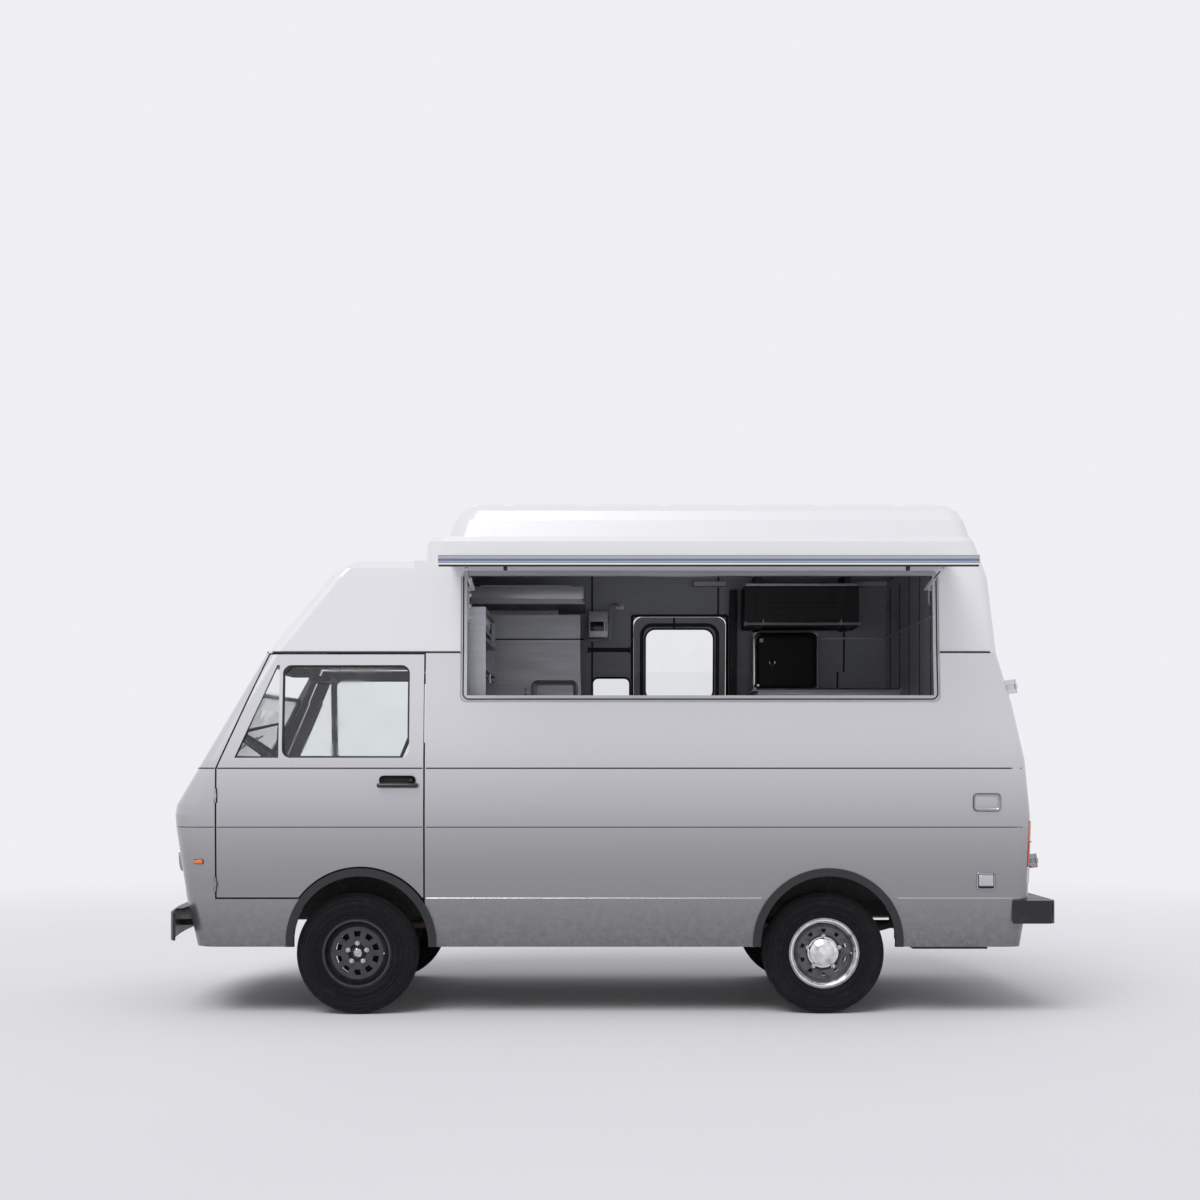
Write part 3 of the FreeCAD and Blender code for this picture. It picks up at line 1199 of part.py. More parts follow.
def add_hinges(door, frame, spots, line, door_arm, frame_arm, sunk=False):
    """Exposed hinges: a knuckle of the door turns on a pin between two lugs of the frame."""
    knuckle = size("hinge_knuckle")
    play = size("hinge_play")
    third = size("hinge_length") / 3
    reach = line * (third * 1.5)
    on_door = door.Shape
    on_frame = frame.Shape
    for spot in spots:
        if sunk:
            room = rod(knuckle + size("hinge_room"), spot - reach * 1.05, spot + reach * 1.05)
            on_door = on_door.cut(room)
            on_frame = on_frame.cut(room)
        middle = line * (third / 2 - play)
        on_door = on_door.fuse(rod(knuckle, spot - middle, spot + middle))
        on_door = on_door.fuse(strap(spot, line, door_arm, third - 2 * play))
        on_door = on_door.cut(rod(size("hinge_pin") + play, spot - reach, spot + reach))
        on_frame = on_frame.fuse(rod(size("hinge_pin"), spot - reach, spot + reach))
        for way in (-1, 1):
            centre = spot + line * (way * third)
            on_frame = on_frame.fuse(strap(centre, line, frame_arm, third))
    door.Shape = on_door.removeSplitter()
    frame.Shape = on_frame.removeSplitter()


def hang_doors():
    """Give every swinging door and the service flap its hinges."""
    sink = size("hinge_sink")
    for side, name in ((-1, "left"), (1, "right")):
        panel = doc.getObject("side_panel_" + name)
        spots = rear_hinge_spots(side)
        line = (spots[1] - spots[0]).normalize()
        reach = size("rear_hinge_stand") + sink
        add_hinges(doc.getObject("rear_door_" + name), panel, spots, line, V(-reach, -side * sink, 0),
                   V(-reach, side * sink / 4, 0))
        spots = cab_hinge_spots(side)
        add_hinges(doc.getObject("cab_door_" + name), doc.getObject("front_panel"), spots, V(0, 0, 1),
                   V(sink, -side * sink, 0), V(-sink, -side * sink, 0), sunk=True)
    door = doc.getObject("side_door")
    spots = side_hinge_spots()
    line = (spots[1] - spots[0]).normalize()
    reach = size("side_hinge_stand") + sink
    for spot, frame in zip(spots, ("side_panel_right", "roof_moulding")):
        add_hinges(door, doc.getObject(frame), [spot], line, V(sink, -reach, 0), V(-sink, -reach, 0))
    stand = size("flap_hinge_stand")
    add_hinges(doc.getObject("service_flap"), doc.getObject("front_panel"), flap_hinge_spots(), V(0, 1, 0),
               V(stand * 2, 0, -stand * 1.8), V(stand * 3.6, 0, stand * 1.8))


def opened(shape):
    """Turn a piece of the serving flap from closed, where it is drawn, to its open rest."""
    moved = shape.copy()
    moved.rotate(hinge_line, V(1, 0, 0), -flap_turn)
    return moved


def leaned(shape):
    """Lean an upright plate, drawn hanging from the hinge, onto the line of the closed flap."""
    moved = shape.copy()
    moved.rotate(hinge_line, V(1, 0, 0), -flap_lean)
    return moved


def make_hatch():
    """Frame round the serving hatch with its hinge bar, and the flap that stands open."""
    rim = size("hatch_rim")
    stand = size("rim_stand")
    outer = hatch_hole(seat)
    hole = hatch_hole(rim)
    skin_low = body_skin(-stand, stand + wall + seat)
    roof_band = roof_solid(-stand, 0.0, 0.0).cut(roof_solid(wall + seat, 0.0, wall))
    low = block(-FAR, FAR, -FAR, FAR, 0, z_seam)
    high = block(-FAR, FAR, -FAR, FAR, z_seam, FAR)
    ring = outer.cut(hole)
    frame = skin_low.common(ring).common(low).fuse(roof_band.common(ring).common(high)).removeSplitter()
    x_from = hatch_front - size("flap_overlap")
    x_to = hatch_rear + size("flap_overlap")
    bar = size("hinge_radius")
    hinge = rod(bar, V(x_from, y_hinge, z_hinge), V(x_to, y_hinge, z_hinge))
    hinge = hinge.fuse(block(x_from, x_to, y_hinge, -side_line(z_hinge) - seat, z_hinge - bar, z_hinge))
    leaf = block(x_from, x_to, y_hinge + bar * 0.2, -side_line(z_hinge) - seat, z_hinge - bar, z_hinge + bar)
    hinge = hinge.fuse(leaf).cut(roof_solid(-seat, 0.0, 0.0))
    for x in strut_places():
        frame = frame.fuse(strut_wall_bracket(x, strut_wall_eye()))
    keep("hatch_frame", Part.makeCompound([frame.Solids[0], max(hinge.Solids, key=lambda solid: solid.Volume)]))
    thick = size("flap_thickness")
    gap = size("flap_hinge_gap")
    plate = block(x_from, x_to, y_hinge - thick - gap, y_hinge - gap, z_hinge - flap_reach, z_hinge - bar - gap)
    recess = size("flap_rim")
    inside = block(x_from + recess, x_to - recess, y_hinge - thick * 0.55 - gap, y_hinge,
                   z_hinge - flap_reach + recess, z_hinge - bar - gap - recess)
    plate = rounded(plate, 12, V(0, 1, 0)).cut(inside)
    lip = block(x_from, x_to, y_hinge - thick - gap - size("drip_lip"), y_hinge - gap,
                z_hinge - flap_reach, z_hinge - flap_reach + size("drip_width"))
    plate = plate.fuse(lip)
    for x in strut_places():
        plate = plate.fuse(strut_ear(x, strut_flap_eye(), y_hinge - thick * 0.6 - gap))
    keep("serving_flap", opened(leaned(plate.removeSplitter())))


def strut_places():
    """The two struts stand just inside the ends of the hatch opening."""
    inset = size("hatch_rim") + size("strut_inset")
    return hatch_front + inset, hatch_rear - inset


def strut_flap_eye():
    """Strut pivot on the flap, before the flap is leaned and opened."""
    return V(0, y_hinge + size("strut_eye_in"), z_hinge - size("strut_arm"))


def strut_wall_eye():
    """Strut pivot on the body, beside the hatch opening."""
    return V(0, y_hinge + size("strut_wall_in"), z_hinge - size("strut_wall_drop"))


def strut_ear(x, eye, y_to):
    """Ear on the flap, beside the eye of a strut rod."""
    face = x - size("strut_ear_width") / 2
    y_from = eye.y + 12
    return block(face - 6, face, min(y_from, y_to), max(y_from, y_to), eye.z - 14, eye.z + 14)


def make_struts():
    """Two gas struts, each a cylinder on the body and a rod that slides out to the flap."""
    wall_eye = strut_wall_eye()
    flap_eye = opened(leaned(Part.Vertex(strut_flap_eye()))).Point
    run = (flap_eye - wall_eye).normalize()
    reach = (flap_eye - wall_eye).Length
    barrel_radius = size("strut_radius")
    eye_radius = size("strut_eye_radius")
    half = size("strut_ear_width") / 2 - 1
    for x, name in zip(strut_places(), ("front", "rear")):
        at_wall = V(x, wall_eye.y, wall_eye.z)
        at_flap = V(x, flap_eye.y, flap_eye.z)
        barrel_end = at_wall + run * size("strut_barrel")
        barrel = rod(barrel_radius, at_wall + run * 5, barrel_end)
        barrel = barrel.fuse(rod(eye_radius, at_wall - V(half, 0, 0), at_wall + V(half, 0, 0)))
        bore = size("strut_rod_radius") + size("strut_clearance")
        barrel = barrel.cut(rod(bore, at_wall + run * 24, barrel_end + run))
        pin = size("strut_pin_radius") + size("strut_clearance")
        barrel = barrel.cut(rod(pin, at_wall - V(half + 1, 0, 0), at_wall + V(half + 1, 0, 0)))
        keep("strut_cylinder_" + name, barrel)
        start = at_flap - run * (reach - size("strut_barrel") + size("strut_lap"))
        piston = rod(size("strut_rod_radius"), start, at_flap - run * 8)
        piston = piston.fuse(rod(eye_radius, at_flap - V(half, 0, 0), at_flap + V(half, 0, 0)))
        pin_end = V(half + 1 - size("strut_clearance"), 0, 0)
        piston = piston.fuse(rod(size("strut_pin_radius"), at_flap - pin_end, at_flap + pin_end))
        keep("strut_rod_" + name, piston)


def strut_wall_bracket(x, eye):
    """Bracket and pin on the jamb of the hatch that carry the foot of a strut."""
    half = size("strut_ear_width") / 2
    jamb = hatch_front + size("hatch_rim") if x < 0 else hatch_rear - size("hatch_rim")
    sunk = size("hatch_rim") / 4
    x_from, x_to = sorted((x - half if x < 0 else x + half, jamb + (-sunk if x < 0 else sunk)))
    plate = block(x_from, x_to, eye.y - 14, eye.y + 14, eye.z - 14, eye.z + 14)
    return plate.fuse(rod(size("strut_pin_radius"), V(x - half, eye.y, eye.z), V(x + half, eye.y, eye.z)))


def make_grille():
    """Black grille of level slats with upright ribs, holding the two round headlamps."""
    skin = body_skin(size("grille_depth"), size("grille_skin"))
    plate = skin.common(grille_hole(seat))
    low = z_fold_low + size("grille_rise") + size("grille_border")
    high = z_fold_high - size("grille_drop") - size("grille_border")
    half = size("grille_half") - size("grille_border")
    count = int(size("grille_slots"))
    pitch = (high - low) / count
    ribs = size("grille_rib_pitch")
    slots = []
    columns = int(half * 2 / ribs)
    span = 2 * half / columns
    for row in range(count):
        for column in range(columns):
            y = -half + column * span
            slots.append(block(nose_x - wall, nose_x + wall * 5, y + size("grille_rib") / 2,
                               y + span - size("grille_rib") / 2, low + row * pitch + size("grille_slat") / 2,
                               low + (row + 1) * pitch - size("grille_slat") / 2))
    holes = Part.makeCompound(slots)
    z_lamp = (low + high) / 2
    for side in (-1, 1):
        y = side * size("headlamp_offset")
        bezel = rod(size("headlamp_radius") + size("headlamp_bezel"), V(nose_x - wall, y, z_lamp),
                    V(nose_x + wall * 5, y, z_lamp))
        holes = holes.cut(bezel)
        plate = plate.cut(rod(size("headlamp_radius") + seat, V(nose_x - wall, y, z_lamp),
                              V(nose_x + wall * 5, y, z_lamp)))
    keep("grille", plate.cut(holes))
    return z_lamp


def make_front_lamps(z_lamp):
    """Round headlamps behind domed lenses, and the turn lamps under the grille."""
    lamps = []
    radius = size("headlamp_radius")
    bow = size("nose_bow") * (size("headlamp_offset") / size("half_width")) ** 2
    face = nose_x + bow + size("grille_depth") + 6
    for side in (-1, 1):
        y = side * size("headlamp_offset")
        lens = rod(radius, V(face, y, z_lamp), V(face + size("headlamp_depth"), y, z_lamp))
        bulge = size("headlamp_dome")
        ball = (radius ** 2 + bulge ** 2) / (2 * bulge)
        dome = Part.makeSphere(ball, V(face - bulge + ball, y, z_lamp))
        dome = dome.common(rod(radius, V(face - bulge * 2, y, z_lamp), V(face + 1, y, z_lamp)))
        lamps.append(lens.fuse(dome).removeSplitter())
        y_mid = side * size("turn_lamp_offset")
        half = size("turn_lamp_width") / 2
        low = z_fold_low - size("turn_lamp_drop")
        y_from, y_to = sorted((y_mid - half, y_mid + half))
        turn = body_skin(-12, 12 - seat).common(block(nose_x - FAR, nose_x + 300, y_from, y_to, low,
                                                    low + size("turn_lamp_height")))
        lamps.append(turn.Solids[0])
    keep("front_lamps", Part.makeCompound(lamps))


def make_rear_lamps():
    """Upright tail lamps on the two rear corner pillars."""
    lamps = []
    low = z_rear_door_low + size("tail_lamp_rise")
    for side in (-1, 1):
        y_from, y_to = sorted((side * (rear_door_half + size("tail_lamp_gap")),
                               side * (rear_door_half + size("tail_lamp_gap") + size("tail_lamp_width"))))
        zone = block(rear_axle, FAR, y_from, y_to, low, low + size("tail_lamp_height"))
        lamps.append(body_skin(-size("tail_lamp_proud"), size("tail_lamp_proud") - seat).common(zone).Solids[0])
    keep("rear_lamps", Part.makeCompound(lamps))


def make_drive_train():
    """Engine with its gearbox as one mass, fuel tank between the rails and the exhaust."""
    top = size("floor_height")
    skin = size("floor_skin")
    x_low = front_axle - size("cover_lead") + skin * 2
    x_high = front_axle + size("cover_trail") - skin * 2
    half = size("cover_half") - skin * 2
    engine = doc.addObject("Part::Box", "engine_block")
    engine.Label = "engine_block"
    engine.setExpression("Height", "Sizes.engine_height")
    engine.Length = x_high - x_low
    engine.Width = 2 * half
    low = size("floor_height") + size("cover_height") - skin * 2 - size("engine_height")
    engine.Placement.Base = V(x_low, -half, low)
    tank_x = size("tank_front")
    tank_top = top - skin - size("rail_height") + size("rail_width") / 2 - seat
    tank_y = size("rail_offset") + size("rail_width") / 2 + seat
    tank = block(tank_x, tank_x + size("tank_length"), tank_y, tank_y + size("tank_width"),
                 tank_top - size("tank_height"), tank_top)
    keep("fuel_tank", rounded(tank, 30, V(0, 1, 0)))
    pipe = size("exhaust_radius")
    y = -size("exhaust_offset")
    height = size("exhaust_height")
    start = V(x_high + 40, y, height)
    muffler_from = V(size("muffler_front"), y, height)
    muffler_to = muffler_from + V(size("muffler_length"), 0, 0)
    end = V(tail_x - size("sill_tail") - wall - size("tailpipe_gap"), y, height)
    exhaust = rod(pipe, start, end).fuse(rod(size("muffler_radius"), muffler_from, muffler_to))
    exhaust = exhaust.fuse(rod(pipe, start, V(start.x, -half + 30, low + 60)))
    for x in (muffler_from.x - 60, end.x - size("hanger_lead")):
        exhaust = exhaust.fuse(block(x - 12, x + 12, y - 4, y + 4, height, top - skin - seat))
    keep("exhaust", exhaust.removeSplitter())


def make_spare_carrier():
    """Cradle under the tail: a dished tray on two drop tubes, with a winding hook at its end."""
    x = rear_axle + size("cradle_lead")
    length = size("cradle_length")
    y = -size("cradle_offset")
    low = size("cradle_low")
    half = size("cradle_width") / 2
    tray = block(x, x + length, y - half, y + half, low, low + size("cradle_depth"))
    skin = size("floor_skin") / 2
    tray = tray.cut(block(x + skin, x + length - skin, y - half + skin, y + half - skin, low + skin, FAR))
    rail_low = size("floor_height") - size("floor_skin") - size("rail_height")
    for place in (x + 30, x + length - 30):
        tray = tray.fuse(block(place - 12, place + 12, -size("rail_offset") - 12, -size("rail_offset") + 12,
                               low + skin / 2, rail_low - seat))
    hook = rod(9, V(x + length - 4, y, low + 20), V(x + length + 60, y, low + 20))
    hook = hook.fuse(rod(9, V(x + length + 60, y, low + 12), V(x + length + 60, y, low + 96)))
    keep("spare_carrier", tray.fuse(hook).removeSplitter())


def inner_section(clear):
    """End outline of the inside of the body above the floor, drawn in a little."""
    floor = size("floor_height")
    heights = [floor + seat, z_fold_high, z_screen, z_waist, z_seam, z_shoulder, z_edge - roof_wall]
    half = [side_line(height) - wall - clear for height in heights]
    right = list(zip(half, heights))
    return right + [(-y, z) for y, z in reversed(right)]


def make_partitions():
    """Boards that close off the cab and the stowage behind the rear doors."""
    thick = size("partition_thickness")
    boards = []
    cab = door_rear + size("partition_back")
    rear = hatch_rear + size("partition_trail")
    for x in (cab, rear):
        boards.append(end_plate(inner_section(size("partition_clear")), x, x + thick))
    keep("partitions", Part.makeCompound(boards))
    return cab + thick, rear


def make_galley(x_cab, x_rear):
    """Fixed kitchen units: tall cabinet with hood, wall rack, far counter with locker, high unit."""
    floor = size("floor_height") + seat
    right = side_line(z_seam) - wall - size("unit_clear")
    high_right = side_line(z_shoulder) - wall - size("unit_clear")
    x = x_cab + seat
    depth = size("cabinet_depth")
    top = size("cabinet_top")
    cabinet = block(x, x + size("cabinet_width"), high_right - depth, high_right, floor, top)
    cabinet = cabinet.cut(side_line_groove(x, size("cabinet_width"), high_right - depth))
    neck = block(x + 60, x + size("cabinet_width") * 0.8, high_right - depth * 0.4, high_right, top, top + 60)
    hood_low = top + size("hood_rise")
    y_front = high_right - depth - size("hood_reach")
    hood = [(x + 40, hood_low), (x + size("cabinet_width") + 30, hood_low),
            (x + size("cabinet_width") - 60, hood_low + size("hood_height")), (x + 110, hood_low + size("hood_height"))]
    hood = side_plate(hood, y_front, high_right)
    keep("tall_cabinet", cabinet.fuse(neck).fuse(hood).removeSplitter())
    rack_depth = size("rack_depth")
    y_from = -size("rack_near")
    y_to = y_from + size("rack_width")
    low = size("rack_low")
    high = low + size("rack_height")
    skin = size("unit_skin")
    rack = block(x, x + rack_depth, y_from, y_to, low, high)
    shelves = int(size("rack_bays"))
    bay = (high - low - skin) / shelves
    for step in range(shelves):
        rack = rack.cut(block(x + skin, x + rack_depth + 1, y_from + skin, y_to - skin,
                              low + skin + step * bay, low + (step + 1) * bay))
    keep("wall_rack", rack)
    counter_from = x_rear - seat - size("counter_length")
    counter_top = size("counter_top")
    depth = size("counter_depth")
    counter = block(counter_from, x_rear - seat, right - depth, right, floor, counter_top - skin)
    box_lid = z_arch + size("arch_radius") + size("box_headroom") + seat
    counter = counter.cut(block(-FAR, FAR, size("rear_box_inner") - seat, FAR, 0, box_lid))
    lid = block(counter_from - 20, x_rear - seat, right - depth - 25, right, counter_top - skin, counter_top)
    drawer = block(counter_from + 40, x_rear - 80, right - depth - 12, right - depth, counter_top - skin - 140,
                   counter_top - skin - 15)
    locker = block(counter_from, counter_from + size("locker_width"), right - size("locker_depth"), right - 30,
                   counter_top, counter_top + size("locker_height"))
    keep("far_counter", counter.fuse(lid).fuse(drawer).fuse(locker).removeSplitter())
    make_high_unit(counter_from)


def side_line_groove(x, width, y):
    """Shadow gap that splits the cabinet front into an upper panel and a lower one."""
    height = size("cabinet_split")
    return block(x - 1, x + width + 1, y - 1, y + 6, height, height + 6)


def make_high_unit(x_from):
    """Ventilated unit hung high on the far wall by two upright straps."""
    low = size("high_unit_low")
    high = low + size("high_unit_height")
    width = size("high_unit_width")
    depth = size("high_unit_depth")
    x = x_from - size("high_unit_lead")
    right = side_line(high) - roof_wall - seat
    unit = block(x, x + width, right - depth, right - 40, low, high)
    strap = size("high_unit_strap")
    for place in (x + width * 0.12, x + width * 0.9):
        unit = unit.fuse(block(place - strap / 2, place + strap / 2, right - depth - 8, right - 40,
                               low - 12, high + 70))
    slots = int(size("high_unit_slots"))
    pitch = (high - low - 60) / slots
    for step in range(slots):
        z = low + 30 + step * pitch
        unit = unit.cut(block(x + width * 0.2, x + width * 0.8, right - depth - 1, right - depth + 18, z, z + pitch / 2))
    wall_plate = block(x, x + width, right - 40, right, low, high)
    keep("high_unit", unit.fuse(wall_plate).removeSplitter())


def make_wall_lamps():
    """Two strip lamps high on the far wall."""
    lamps = []
    high = z_edge - size("lamp_drop")
    right = side_line(high) - roof_wall - seat
    for x in (size("lamp_first"), size("lamp_first") + size("lamp_pitch")):
        lamps.append(block(x, x + size("lamp_length"), right - size("lamp_depth"), right,
                           high - size("lamp_height"), high))
    keep("wall_lamps", Part.makeCompound(lamps))


def make_cab_fittings(x_cab):
    """Dashboard, steering wheel on its column, driver's chair and double passenger chair."""
    floor = size("floor_height")
    x_dash = nose_x + size("dash_back")
    half = side_line(z_screen) - wall - size("dash_clear")
    profile = [
        (x_dash, size("dash_low")), (x_dash + 130, size("dash_low")), (x_dash + 190, z_belt - 90),
        (x_dash + 210, z_belt - 10), (x_dash + 120, z_belt + 30), (x_dash, z_belt + 20),
    ]
    dash = side_plate(profile, -half, half).common(stacked(body_levels(), wall + seat))
    dash = max(dash.Solids, key=lambda solid: solid.Volume)
    y = -size("wheel_offset")
    tilt = math.radians(size("column_tilt"))
    aim = V(math.cos(tilt), 0, math.sin(tilt))
    foot = V(x_dash + 150, y, z_belt - 70)
    centre = foot + aim * size("column_length")
    grip = size("steering_grip")
    bend = [V(size("steering_radius") + grip * math.cos(math.radians(60 * corner)), 0,
              grip * math.sin(math.radians(60 * corner))) for corner in range(6)]
    ring = Part.Face(Part.makePolygon(bend + bend[:1])).revolve(V(0, 0, 0), V(0, 0, 1), 360)
    ring.Placement = FreeCAD.Placement(centre, FreeCAD.Rotation(V(0, 0, 1), aim))
    wheel = ring.fuse(rod(24, foot - aim * 40, centre + aim * 6))
    across = V(-math.sin(tilt), 0, math.cos(tilt))
    for turn in (90, 210, 330):
        arm = V(0, math.cos(math.radians(turn)), 0) + across * math.sin(math.radians(turn))
        wheel = wheel.fuse(rod(9, centre, centre + arm * size("steering_radius")))
    keep("dashboard", dash.fuse(wheel).removeSplitter())
    chairs = []
    base = z_arch + size("arch_radius") + size("box_headroom") + seat
    back = x_cab - size("partition_thickness") - size("chair_gap")
    for y_from, y_to in ((-size("chair_outer"), -size("cover_half") - 12),
                         (size("cover_half") + 12, size("chair_outer"))):
        seat_cushion = block(back - size("chair_length"), back - 60, y_from, y_to, base, base + size("chair_depth"))
        backrest = [(back - 150, base + 60), (back - 40, base + 60), (back - 8, base + size("chair_back")),
                    (back - 90, base + size("chair_back"))]
        chair = seat_cushion.fuse(side_plate(backrest, y_from + 10, y_to - 10)).removeSplitter()
        chairs.append(chair)
    keep("cab_chairs", Part.makeCompound(chairs))


def write_parts():
    """Check every sub-part and write each one to its own file."""
    doc.recompute()
    failed = [item.Name for item in doc.Objects if "Invalid" in item.State or "Error" in item.State]
    if failed:
        raise RuntimeError("failed objects: " + ", ".join(failed))
    os.makedirs("parts", exist_ok=True)
    pieces = [item for item in doc.Objects
              if item.TypeId in ("PartDesign::Body", "Part::Feature", "Part::Box", "Part::Cut", "Part::MultiFuse")
              and not item.InList]
    for piece in pieces:
        if piece.Shape.isNull() or not piece.Shape.isValid() or piece.Shape.Volume <= 0:
            raise RuntimeError("bad shape: " + piece.Label)
    for piece in pieces:
        piece.Shape.exportStep(os.path.join("parts", piece.Label + ".step"))
    print(len(pieces), "sub-parts written")


make_front_panel()
make_side_panels()
make_rear_valance()
make_roof()
make_body_glass()
make_service_flap()
make_side_door()
for door_side, door_name in ((-1, "left"), (1, "right")):
    make_cab_door(door_side, door_name)
    make_cab_glass(door_side, door_name)
    make_rear_door(door_side, door_name)
hang_doors()
make_hatch()
make_struts()
make_front_lamps(make_grille())
make_rear_lamps()
make_arch_lips()
make_bumpers()
make_floor()
make_suspension()
make_knuckles()
make_wheels()
make_drive_train()
make_spare_carrier()
cab_wall, rear_wall = make_partitions()
make_galley(cab_wall, rear_wall)
make_wall_lamps()
make_cab_fittings(cab_wall)
write_parts()
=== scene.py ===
import math

import bpy
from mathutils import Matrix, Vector


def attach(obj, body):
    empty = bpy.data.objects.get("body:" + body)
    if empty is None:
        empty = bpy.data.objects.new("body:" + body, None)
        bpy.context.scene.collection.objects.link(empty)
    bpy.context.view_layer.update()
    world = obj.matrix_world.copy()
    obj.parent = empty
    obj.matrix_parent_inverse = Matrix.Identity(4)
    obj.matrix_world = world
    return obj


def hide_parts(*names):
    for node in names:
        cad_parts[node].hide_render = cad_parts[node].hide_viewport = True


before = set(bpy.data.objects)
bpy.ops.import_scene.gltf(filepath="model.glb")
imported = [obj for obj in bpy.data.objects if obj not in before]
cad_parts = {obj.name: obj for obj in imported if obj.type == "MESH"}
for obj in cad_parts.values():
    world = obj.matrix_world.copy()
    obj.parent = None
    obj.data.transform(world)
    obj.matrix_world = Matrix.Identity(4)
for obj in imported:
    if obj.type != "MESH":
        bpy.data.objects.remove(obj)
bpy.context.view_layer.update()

# Studio: a pale floor and a pale surround, with one broad soft lamp high in front of the hatch
# side. The camera stands level with the door handles, square to that side.
bpy.ops.object.select_all(action="DESELECT")


def feed(made, inputs):
    """Fills a node's sockets, each by its name or number, with a value or from another socket."""
    for key, value in dict(inputs).items():
        if isinstance(value, bpy.types.NodeSocket):
            made.id_data.links.new(value, made.inputs[key])
        else:
            made.inputs[key].default_value = value


def node(near, kind, inputs=(), **settings):
    """Adds a shader node, with its settings and inputs, to the tree that holds the given part."""
    made = near.id_data.nodes.new("ShaderNode" + kind)
    for key, value in settings.items():
        setattr(made, key, value)
    feed(made, inputs)
    return made


def new_material(name):
    """An empty material with its surface shader and object coordinates."""
    made = bpy.data.materials.new(name)
    made.use_nodes = True
    shader = made.node_tree.nodes["Principled BSDF"]
    return made, shader, node(shader, "TexCoord").outputs["Object"]


def cloud(place, scale, detail=2.0, rough=0.5):
    """Noise over a place, from 0 to 1."""
    inputs = {"Vector": place, "Scale": scale, "Detail": detail, "Roughness": rough}
    return node(place, "TexNoise", inputs).outputs["Fac"]


def blend(share, one, other, **settings):
    """Mixes two colours, each three numbers or a socket, by a socket's share or a fixed one."""
    near = next(part for part in (share, one) if isinstance(part, bpy.types.NodeSocket))
    one, other = (part if isinstance(part, bpy.types.NodeSocket) else (*part, 1) for part in (one, other))
    inputs = {"Factor": share, "A": one, "B": other}
    return node(near, "Mix", inputs, data_type="RGBA", **settings).outputs["Result"]


def spread(value, start, end, low=0.0, high=1.0, **settings):
    """Maps a value between start and end to one between low and high."""
    inputs = {"Value": value, "From Min": start, "From Max": end, "To Min": low, "To Max": high}
    return node(value, "MapRange", inputs, **settings).outputs[0]


def reckon(operation, one, other):
    """Arithmetic on two values."""
    return node(one, "Math", {0: one, 1: other}, operation=operation).outputs[0]


def turned(operation, *parts):
    """Reckons with directions: a direction comes out, or a number for a length or a product."""
    made = node(parts[0], "VectorMath", dict(enumerate(parts)), operation=operation)
    return made.outputs["Value" if operation in ("LENGTH", "DOT_PRODUCT") else "Vector"]


def bumped(height, strength, distance, **inputs):
    """A surface direction that follows a height."""
    inputs.update({"Height": height, "Strength": strength, "Distance": distance})
    return node(height, "Bump", inputs).outputs[0]


def surface_mix(share, one, other):
    """Mixes two shaders and puts the result out as the surface."""
    mixed = node(share, "MixShader", {0: share, 1: one.outputs[0], 2: other.outputs[0]})
    end = next(end for end in share.id_data.nodes if end.bl_idname.startswith("ShaderNodeOutput"))
    feed(end, {"Surface": mixed.outputs[0]})


surround = (0.87, 0.86, 0.9, 1)
bpy.ops.mesh.primitive_plane_add(size=70, location=(0, 0, 0))
floor = bpy.context.object
floor.name = "studio_floor"
floor_paint, shader, place = new_material("floor_paint")
tone = blend(cloud(place, 0.35), (0.80, 0.795, 0.825), (0.86, 0.855, 0.88))
feed(shader, {"Base Color": tone, "Roughness": 0.85})
fade = spread(turned("LENGTH", place), 5.0, 13.0, interpolation_type="SMOOTHSTEP")
rays = node(place, "LightPath").outputs
haze = node(place, "Emission", {"Color": surround, "Strength": 1.0})
surface_mix(reckon("MULTIPLY", rays["Is Camera Ray"], fade), shader, haze)
floor.data.materials.append(floor_paint)

world = bpy.data.worlds.new("studio_air")
bpy.context.scene.world = world
world.use_nodes = True
rays = node(world.node_tree, "LightPath").outputs
seen = reckon("MAXIMUM", rays["Is Camera Ray"], rays["Is Glossy Ray"])
seen = reckon("MAXIMUM", seen, rays["Is Transmission Ray"])
surface_mix(seen, node(seen, "Background", {"Color": (0.96, 0.97, 1.0, 1), "Strength": 0.55}),
            node(seen, "Background", {"Color": surround, "Strength": 1.0}))

bpy.ops.object.light_add(type="SUN", location=(0, 0, 6))
sky_lamp = bpy.context.object
sky_lamp.data.angle = math.radians(35)
sky_lamp.data.energy = 1.5
sky_lamp.rotation_euler = Vector((0.35, 0.75, -1.0)).to_track_quat("-Z", "Y").to_euler()

bpy.ops.object.camera_add(location=(0.05, -10.5, 1.3), rotation=(math.radians(90), 0, 0))
camera = bpy.context.object
camera.data.lens = 53.8
camera.data.shift_y = 0.1425
bpy.context.scene.camera = camera
bpy.context.scene.view_settings.view_transform = "Standard"

# Body panels: pressed steel in a silver metallic paint with a clear coat, dusty towards the
# sills, and painted darker towards the bottom as painted shade and reflection of the darker
# ground. Inside the kitchen they are lined with dark steel boards, in the cab with grey vinyl.


def facing_out(place):
    """1 on faces that look away from the middle of the truck, 0 on its inner faces."""
    centred = turned("SUBTRACT", place, (0, 0, 1.3))
    return reckon("GREATER_THAN", turned("DOT_PRODUCT", centred, place.node.outputs["Normal"]), 0.02)


